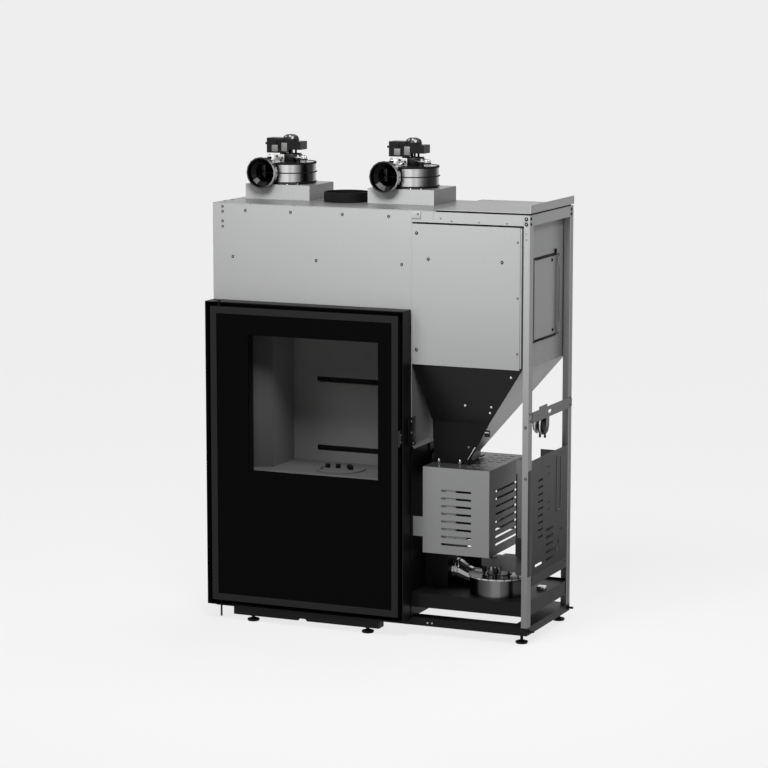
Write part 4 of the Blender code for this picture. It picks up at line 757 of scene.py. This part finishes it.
for name, (scale, finish, spots) in casingScrews.items():
    points = [(x, 0, z) for x, z in spots]
    screwRow(name + "Screws", points, "-y", finish, scale)
    if finish == "screwBlack":
        socketRow(name + "Sockets", points, "-y", scale)
otherScrews = {
    # name: (size of the heads, way they face, places)
    "frontPostSideScrews": (1.15, "x", [(1100, 9, 1354), (1100, 9, 1337)]),
    "rearPostSideScrews": (1.15, "x", [(1100, 376, 1354), (1100, 376, 1339)]),
    "crossbarSideScrews": (0.75, "x", [
        (1102.3, 11, 740.5), (1102.3, 11, 718.5), (1102.3, 376, 740.5), (1102.3, 376, 718.5),
    ]),
    "lowerRailSideScrews": (0.75, "x", [(1100, 44, 204), (1100, 351, 204)]),
    "topEdgeScrews": (0.7, "z", [(12, 62, 1367), (18, 105, 1367), (12, 248, 1367), (690, 330, 1367)]),
}
for name, (scale, way, points) in otherScrews.items():
    screwRow(name, points, way, "screwBlack", scale)
print("screws placed")

# Blower trim, modelled on the left blower and copied to the right one
blowerTrim = {
    "centre": (150, 266), "drumTop": 1485.9, "armAngles": (200, 320, 80), "armStart": 30, "armReach": 74,
    "armWidth": 15, "armThick": 2.4, "armEdge": 0.9, "armRise": 17, "postInset": 7, "postRise": 0.2,
    "grommet": [(6.5, 0), (6.5, 4), (5, 5.5), (5, 8), (7.5, 9.5), (7.5, 15), (5.5, 16)],
    "nut": [(3.2, 15.5), (4.6, 18.4), (4.6, 22), (3.4, 22.8), (2.2, 22.8), (2.2, 25.5)],
    "flangeReach": 84, "flangeTurns": (0.35, 0.75), "flangeTop": 1416.4, "flangeScrews": 0.7,
}
drumHemShades = {
    # Dark rings on the drum's rolled hems and its bead: painted shade along them
    "drumTopHemShade": [(88.2, 1480.6), (89.2, 1481.4), (89.2, 1485.8), (87.4, 1486.8), (84, 1486.9)],
    "drumFootHemShade": [(88.2, 1419.5), (89.4, 1420.0), (89.4, 1423.6), (88.2, 1424.2)],
    "drumBeadShade": [(88.6, 1452.0), (91.2, 1452.6), (91.2, 1454.8), (88.6, 1455.4)],
}
blowerBars = {
    # name: (low corner, high corner, edge, finish, slot)
    "coilWinding": ((97, 239.8, 1519), (119, 241.9, 1541), 1, "coilGrey", "motor_black"),
    "coreFace": ((133, 239, 1521), (153, 240.6, 1549), 0.4, "coilGrey", "motor_black"),
    "motorTerminal": ((63, 262, 1541), (77.8, 268, 1548), 0.4, "blackPlastic", "plastic_black"),
    "motorPlate": ((112, 224, 1487), (150, 226, 1512), 0.4, "zincBright", "bright_steel"),
}
blowerRounds = {
    # name: (rings, sides, places, way, finish, slot)
    "capacitorCup": (
        [(12, 0), (13, 1), (13, 20), (11.5, 22.5), (7, 24), (3, 24.4)], 28,
        [(216, 232, 1486.1)], "z", "brightSteel", "bright_steel",
    ),
    "capacitorStrap": (
        [(13.4, 0.4), (14.6, 0.6), (14.6, 5.4), (13.4, 5.6)], 28,
        [(216, 232, 1493.9)], "z", "blackPlastic", "plastic_black",
    ),
    "domeWindows": (
        [(4.5, 0), (5, 0.8), (4.2, 1.6)], 16,
        [(149, 245, 1567), (162, 245, 1570), (171, 245, 1566)], "-y", "zincBright", "bright_steel",
    ),
    "motorPlateStuds": (
        [(3.6, 0), (3.6, 3), (2.6, 4)], 14,
        [(124, 224, 1506), (138, 224, 1493), (144, 224, 1501)], "-y", "blackPlastic", "plastic_black",
    ),
}
motorBell = {"rings": [(33, 0), (35, 3), (35, 20), (33, 26)], "sides": 32, "place": (154, 272, 1486.6)}


def onBoth(name, piece, finish, angle=40):
    twin = shifted(copyOf(piece), blowerPitch, 0, 0)
    for part, side in ((piece, "Left"), (twin, "Right")):
        part.name = name + side
        finished(part, finish, "frame", angle)


def roundDrum(reach, rise):
    # A point above the drum in the direction of each arm
    x, y = blowerTrim["centre"]
    turns = [math.radians(angle) for angle in blowerTrim["armAngles"]]
    top = blowerTrim["drumTop"] + rise
    return [(x + reach * math.cos(turn), y + reach * math.sin(turn), top) for turn in turns]


def mountArms(trim):
    # Pressed arms on the drum, which carry a rubber grommet and a nut at their outer ends
    startClean()
    bpy.ops.mesh.primitive_cube_add(size=1, location=(0, 0, 0))
    arm = bpy.context.object
    length = trim["armReach"] - trim["armStart"]
    arm.scale = Vector((length, trim["armWidth"], trim["armThick"])) / 1000
    bpy.ops.object.transform_apply(location=False, rotation=False, scale=True)
    softened(arm, trim["armEdge"])
    arms = [arm] + [copyOf(arm) for _ in trim["armAngles"][1:]]
    points = roundDrum(trim["armStart"] + length / 2, trim["armRise"])
    for part, angle, point in zip(arms, trim["armAngles"], points):
        only(part)
        part.rotation_euler = (0, 0, math.radians(angle))
        part.location = at(*point)
        bpy.ops.object.transform_apply(location=True, rotation=True, scale=True)
    return joined("motorArms", arms)


def blowerPieces(trim):
    onBoth("motorArms", mountArms(trim), "zincBright")
    posts = roundDrum(trim["armReach"] - trim["postInset"], trim["postRise"])
    rubber = spread("motorGrommets", turned("drumPost", trim["grommet"], 20), posts)
    onBoth("motorGrommets", rubber, "blackPlastic")
    nuts = spread("motorNuts", turned("drumPost", trim["nut"], 6), posts)
    onBoth("motorNuts", nuts, "zincBright", 30)
    x, y = trim["centre"]
    for name, rings in drumHemShades.items():
        onBoth(name, stand(bandRing(name, rings, 48), (x, y, 0)), "packing")
    for name, (low, high, edge, finish, slotName) in blowerBars.items():
        onBoth(name, softened(block(name, low, high), edge), finish)
    bell = bandRing("motorBell", motorBell["rings"], motorBell["sides"])
    onBoth("motorBell", stand(bell, motorBell["place"]), "motorCore")
    for name, (rings, sides, points, way, finish, slotName) in blowerRounds.items():
        onBoth(name, spread(name, turned(name, rings, sides), points, way), finish)
    # Screws of the drum's flange on the plinth
    reach = trim["flangeReach"]
    heads = [
        (x + reach * math.sin(turn), y - reach * math.cos(turn), trim["flangeTop"])
        for turn in trim["flangeTurns"]
    ]
    flange = screwHeads("drumFlangeScrews", heads, "z", trim["flangeScrews"])
    onBoth("drumFlangeScrews", flange, "zincBright")


blowerPieces(blowerTrim)
print("blower trim placed")

# Hatch trim; dark strips along the hatch's top and lower hems and on the wall beside them are painted shade
# of the gaps there
hatchBars = {
    # name: (low corner, high corner, finish, slot, edge, body), here and in the lists that follow
    "hatchTopHemShade": ((1079.5, 101, 1213.6), (1081.4, 297, 1217.8), "packing", "plastic_black", 0.4, "hatch"),
    "hatchLowHemShade": ((1079.5, 101, 958.2), (1081.4, 297, 962.0), "packing", "plastic_black", 0.4, "hatch"),
    "hatchTopShade": ((1077.2, 88, 1218.4), (1079, 298, 1221.4), "packing", "plastic_black"),
    "hatchLowShade": ((1077.2, 88, 953.6), (1079, 298, 957.6), "packing", "plastic_black"),
    "hatchEdge": ((1077.3, 96.4, 960), (1080.3, 99.6, 1216), "galvanisedSheet", "galvanised"),
    "hatchFlange": ((1080.2, 292.4, 966), (1088.4, 293.6, 1211), "plinthSheet", "galvanised", 0.4, "hatch"),
    "hatchCatch": ((1077.3, 284, 1221.8), (1083.5, 292, 1234), "blackPlastic", "plastic_black"),
}
bars(hatchBars)
hatchScrews = [(1079.4, 255, 1201), (1079.4, 264, 976)]
screwRow("hatchScrews", hatchScrews, "x", "packing", 1.1, "hatch")

# Painted shade: dark strips in the gaps of the sheet metal
gapShades = {
    "coverTopGapShade": ((706, 0.4, 1325.3), (1079.6, 1.9, 1330.4), "packing", "plastic_black", 0.3),
    "coverSideGapShade": ((1073.0, 0.9, 880), (1079.6, 2.0, 1325.0), "shadeGrey", "plastic_black", 0.3),
    "lidFrontGapShade": ((786, 0.5, 1365.0), (1098.6, 5.6, 1369.8), "packing", "plastic_black", 0.3),
    "lidSideGapShade": ((1094.5, 6.0, 1365.0), (1099.4, 372, 1369.8), "packing", "plastic_black", 0.3),
}
bars(gapShades)

# The funnel's lower front plate, drawn in towards the guard's roof
funnelPlate = {
    "top": 684, "foot": 548.6, "front": 96.2, "back": 97.4,
    "topEdges": (735, 930), "footEdges": (741.4, 857.6),
}


def makeFunnelPlate(size):
    left, right = size["topEdges"]
    low, high = (left, size["front"], size["foot"]), (right, size["back"], size["top"])
    piece = block("funnelPlate", low, high)
    bpy.ops.object.mode_set(mode="EDIT")
    drop = size["top"] - size["foot"]
    for side, edge, foot in zip((-1, 1), size["topEdges"], size["footEdges"]):
        outwards = Vector((drop, 0, foot - edge)).normalized() * side
        bpy.ops.mesh.select_all(action="SELECT")
        bpy.ops.mesh.bisect(
            plane_co=at(edge, size["front"], size["top"]), plane_no=outwards,
            use_fill=True, clear_outer=True,
        )
    bpy.ops.mesh.select_all(action="SELECT")
    closeUp()
    # painted dark reflection, as on the funnel's front
    finished(piece, "funnelPaintedDark")


makeFunnelPlate(funnelPlate)

# Fittings on the funnel
funnelBars = {
    "funnelClamp": ((913, 97.8, 642), (932, 101, 664), "blackPlastic", "plastic_black", 1.4),
    "funnelClampTie": ((915, 95.4, 655), (930, 97.6, 658), "zincSatin", "bright_steel"),
}
bars(funnelBars)
screwRow("funnelPlateScrew", [(860.7, 96.1, 604.5)], "-y", "coilGrey", 0.8)
funnelFin = {"top": (884, 94.4, 607), "foot": (858.5, 94.4, 565), "radius": 1.6, "sides": 12}


def makeFunnelFin(size):
    # A round rod between two points
    way = at(*size["foot"]) - at(*size["top"])
    length, radius = way.length * 1000, size["radius"]
    rod = turned("funnelFin", [
        (radius * 0.8, 0), (radius, radius * 0.3), (radius, length - radius * 0.3), (radius * 0.8, length),
    ], size["sides"])
    finished(stand(rod, size["top"], way), "zincSatin")


makeFunnelFin(funnelFin)

# Fire space seen through the window
# dark strips that thicken the air slots in the back liner: painted shade of the slots
fireBars = {
    "backSlotTop": ((270, 219.9, 767.5), (500, 220.8, 782), "packing", "plastic_black", 0.3),
    "backSlotLow": ((270, 219.9, 538), (500, 220.8, 553), "packing", "plastic_black", 0.3),
}
bars(fireBars)
potLugs = {
    "places": [(366, 92), (401, 98), (438, 104), (452, 84)], "half": (7, 6), "foot": 504, "top": 517,
    "edge": 1.5,
}


def makePotLugs(size):
    (firstX, firstY), *others = size["places"]
    halfX, halfY = size["half"]
    low = (firstX - halfX, firstY - halfY, size["foot"])
    high = (firstX + halfX, firstY + halfY, size["top"])
    lug = softened(block("potLug", low, high), size["edge"])
    lugs = [lug] + [shifted(copyOf(lug), x - firstX, y - firstY, 0) for x, y in others]
    finished(joined("potLugs", lugs), "packing", "pot")


makePotLugs(potLugs)

# Black plate over the corner of the surround and the side shield, with three screws
bar("latchBracket", (702.3, -28, 615), (705.3, 30, 706), "blackCoat", "black_steel", 0.9)
bracketScrews = [(705.3, -6, 694), (705.3, -6, 658), (705.3, 9, 621)]
screwRow("latchBracketScrews", bracketScrews, "x", "coilGrey", 0.8)

# Controls
# slotShade and postSideShade are dark sheets of painted shade, behind the panel's slots and on the post's
# side
controlBars = {
    "terminalBlock": ((1052, 18, 280), (1074, 31.9, 338), "blackPlastic", "plastic_black", 1.2, "frame", 3),
    "boxCornerStrip": ((1048.4, 30.6, 340), (1052, 32.2, 544), "blackCoat", "black_steel"),
    "slotShade": ((1094.5, 84, 322), (1098.2, 141, 540), "packing", "plastic_black"),
    "postSideShade": ((1100.15, 1.5, 220), (1100.7, 38, 560), "shadeGrey", "black_steel", 0.2),
}
bars(controlBars)
# Dark marks for the lower vent slots: painted shade of the openings
lowVents = {
    "low": (1100.15, 170, 337.5), "high": (1100.6, 234, 344.5), "edge": 0.2, "step": -24.4, "count": 5,
}


def makeLowVents(size):
    vent = softened(block("lowVent", size["low"], size["high"]), size["edge"])
    copies = [shifted(copyOf(vent), 0, 0, size["step"] * index) for index in range(1, size["count"])]
    for index, part in enumerate([vent, *copies]):
        part.name = "lowVent" + str(index)
        finished(part, "packing")


cableGlands = {"face": 1094, "places": [(262, 262, 13), (287, 283, 8), (310, 321, 7)]}  # y, z, radius


def makeCableGlands(size):
    glands = []
    for y, z, radius in size["places"]:
        rings = [(radius, 0), (radius, 3), (radius * 0.7, 4), (radius * 0.7, 7), (radius * 0.5, 8)]
        glands.append(stand(turned("cableGland", rings, 20), (size["face"], y, z), "x"))
    finished(joined("cableGlands", glands), "blackPlastic")


coverFrame = {"x": (1100.1, 1101.6), "y": (258, 300), "z": (388, 566), "width": 4, "edge": 0.4}


def makeCoverFrame(size):
    # A thin raised frame round the control cover
    inner, outer = size["x"]
    front, back = size["y"]
    foot, top = size["z"]
    width = size["width"]
    sides = (
        ((inner, front, foot), (outer, front + width, top)),
        ((inner, back - width, foot), (outer, back, top)),
        ((inner, front, top - width), (outer, back, top)),
        ((inner, front, foot), (outer, back, foot + width)),
    )
    parts = [softened(block("coverEdge", low, high), size["edge"], 1) for low, high in sides]
    finished(joined("controlCoverEdge", parts), "screwBlack")


makeLowVents(lowVents)
makeCableGlands(cableGlands)
makeCoverFrame(coverFrame)

# Small tab with one screw, painted shadow along its right and lower edges, and the seam of the top rail
seamBars = {
    "seamTab": ((702, -1.5, 1341), (733, -0.15, 1364.6), "galvanisedSheet", "galvanised", 0.5),
    "seamTabShadowEdge": ((733.2, -0.8, 1341), (734.6, -0.15, 1364.6), "coilGrey", "plastic_black", 0.2),
    "seamTabShadowFoot": ((702, -0.8, 1339.6), (734.6, -0.15, 1340.8), "coilGrey", "plastic_black", 0.2),
    "railSeam": ((775.2, -0.5, 1339.6), (776.2, -0.15, 1364.6), "coilGrey", "plastic_black", 0.2),
}
bars(seamBars)
screwRow("seamTabScrew", [(724, -1.5, 1356.6)], "-y", "coilGrey", 0.8)

# Guard and the connector on the tray
guardBars = {
    "gearCover": ((814, 17.2, 316), (848, 20, 506), "guardSheet", "guard_grey", 1.2),
    "gearCoverFoot": ((848.3, 17.2, 318), (886, 20, 341), "guardSheet", "guard_grey", 1.2),
    "guardBackPlate": ((868, 326, 300), (930, 328.5, 515), "guardSheet", "guard_grey", 0.6),
    "motorShade": ((842.3, 36, 318), (897, 60, 506), "motorCore", "motor_black", 2),
    "trayConnector": ((1058, 196, 136.4), (1084, 222, 148), "zincBright", "bright_steel", 1),
}
bars(guardBars)

# Round fittings on the funnel, pot, pressure switch, guard, fan and rail
roundFittings = {
    # name: (rings, sides, places, way, finish, slot, body)
    "funnelStuds": (
        [(3.6, 0.1), (4.2, 0.8), (4.2, 3), (3, 4.2)], 16,
        [(861, 65.7, 746.6), (950, 65.7, 746.6), (942, 75.7, 725.9), (1036, 14.2, 853.4)],
        (0, -0.9, -0.435), "zincBright", "bright_steel", "frame",
    ),
    "potGrate": (
        [(60, -8), (64, -8), (64, -1), (62, 0.6), (30, 0.6)], 48,
        [(412, 101, 503)], "z", "potGrey", "cast_iron", "pot",
    ),
    # Cover on the inner side of the pressure switch
    "switchCover": (
        [(27, 0), (27, 4), (23, 8), (20, 12), (17, 13.5), (8, 14)], 32,
        [(1069.6, 168, 681)], "-x", "zincSatin", "bright_steel", "frame",
    ),
    "guardStuds": (
        [(5, 0), (5.4, 0.6), (5.4, 9), (3.6, 10), (3.2, 14), (2.4, 14.8)], 16,
        [(761, 88, 548.1), (834, 88, 548.1)], "z", "zincBright", "bright_steel", "frame",
    ),
    "fanKnobs": (
        [(3.4, 0), (3.4, 6), (7, 7.5), (8, 10), (8, 20), (6, 24), (2.5, 25)], 20,
        [(917, 96, 199.6), (966, 72, 199.6)], "z", "blackPlastic", "plastic_black", "frame",
    ),
    "fanDiscs": (
        [(3, 0), (3, 26), (17, 27), (18.5, 28.5), (18.5, 30), (16, 31.5), (6, 33)], 28,
        [(1012, 150, 199.6), (905, 165, 199.6)], "z", "zincSatin", "bright_steel", "frame",
    ),
    "fanTopPatch": (
        [(20, 199.7), (20.5, 200.2), (20.5, 201.4), (19.8, 202)], 32,
        [(893, 122, 0)], "z", "zincSatin", "bright_steel", "frame",
    ),
    "railHoles": (
        [(2.6, 0.1), (2.6, 0.35), (2.2, 0.5)], 16,
        [(759.6, -0.1, 40.5), (775.2, -0.1, 41)], "-y", "zincSatin", "bright_steel", "frame",
    ),
}
for name, (rings, sides, points, way, finish, slotName, body) in roundFittings.items():
    finished(spread(name, turned(name, rings, sides), points, way), finish, body)
# Crimped rim of the pressure switch, clamp band on the duct and bead on the fan
ringFittings = {
    # name: (rings, sides, place, way, finish)
    "switchRim": (
        [(29.8, 0), (30.6, 0.8), (30.6, 4.6), (29.8, 5.4)], 40, (1083, 168, 681), "x", "zincSatin",
    ),
    "ductBand": (
        [(38.6, 0), (39.8, 0.6), (39.8, 5.4), (38.6, 6)], 40, (799, 176, 186), "x", "brightSteel",
    ),
    "fanBead": (
        [(97.0, 193.6), (98.8, 194.6), (98.8, 197.6), (97.0, 198.8)], 64, (962, 114, 0), "z", "zincSatin",
    ),
}
for name, (rings, sides, point, way, finish) in ringFittings.items():
    finished(stand(bandRing(name, rings, sides), point, way), finish)
print("fittings placed")
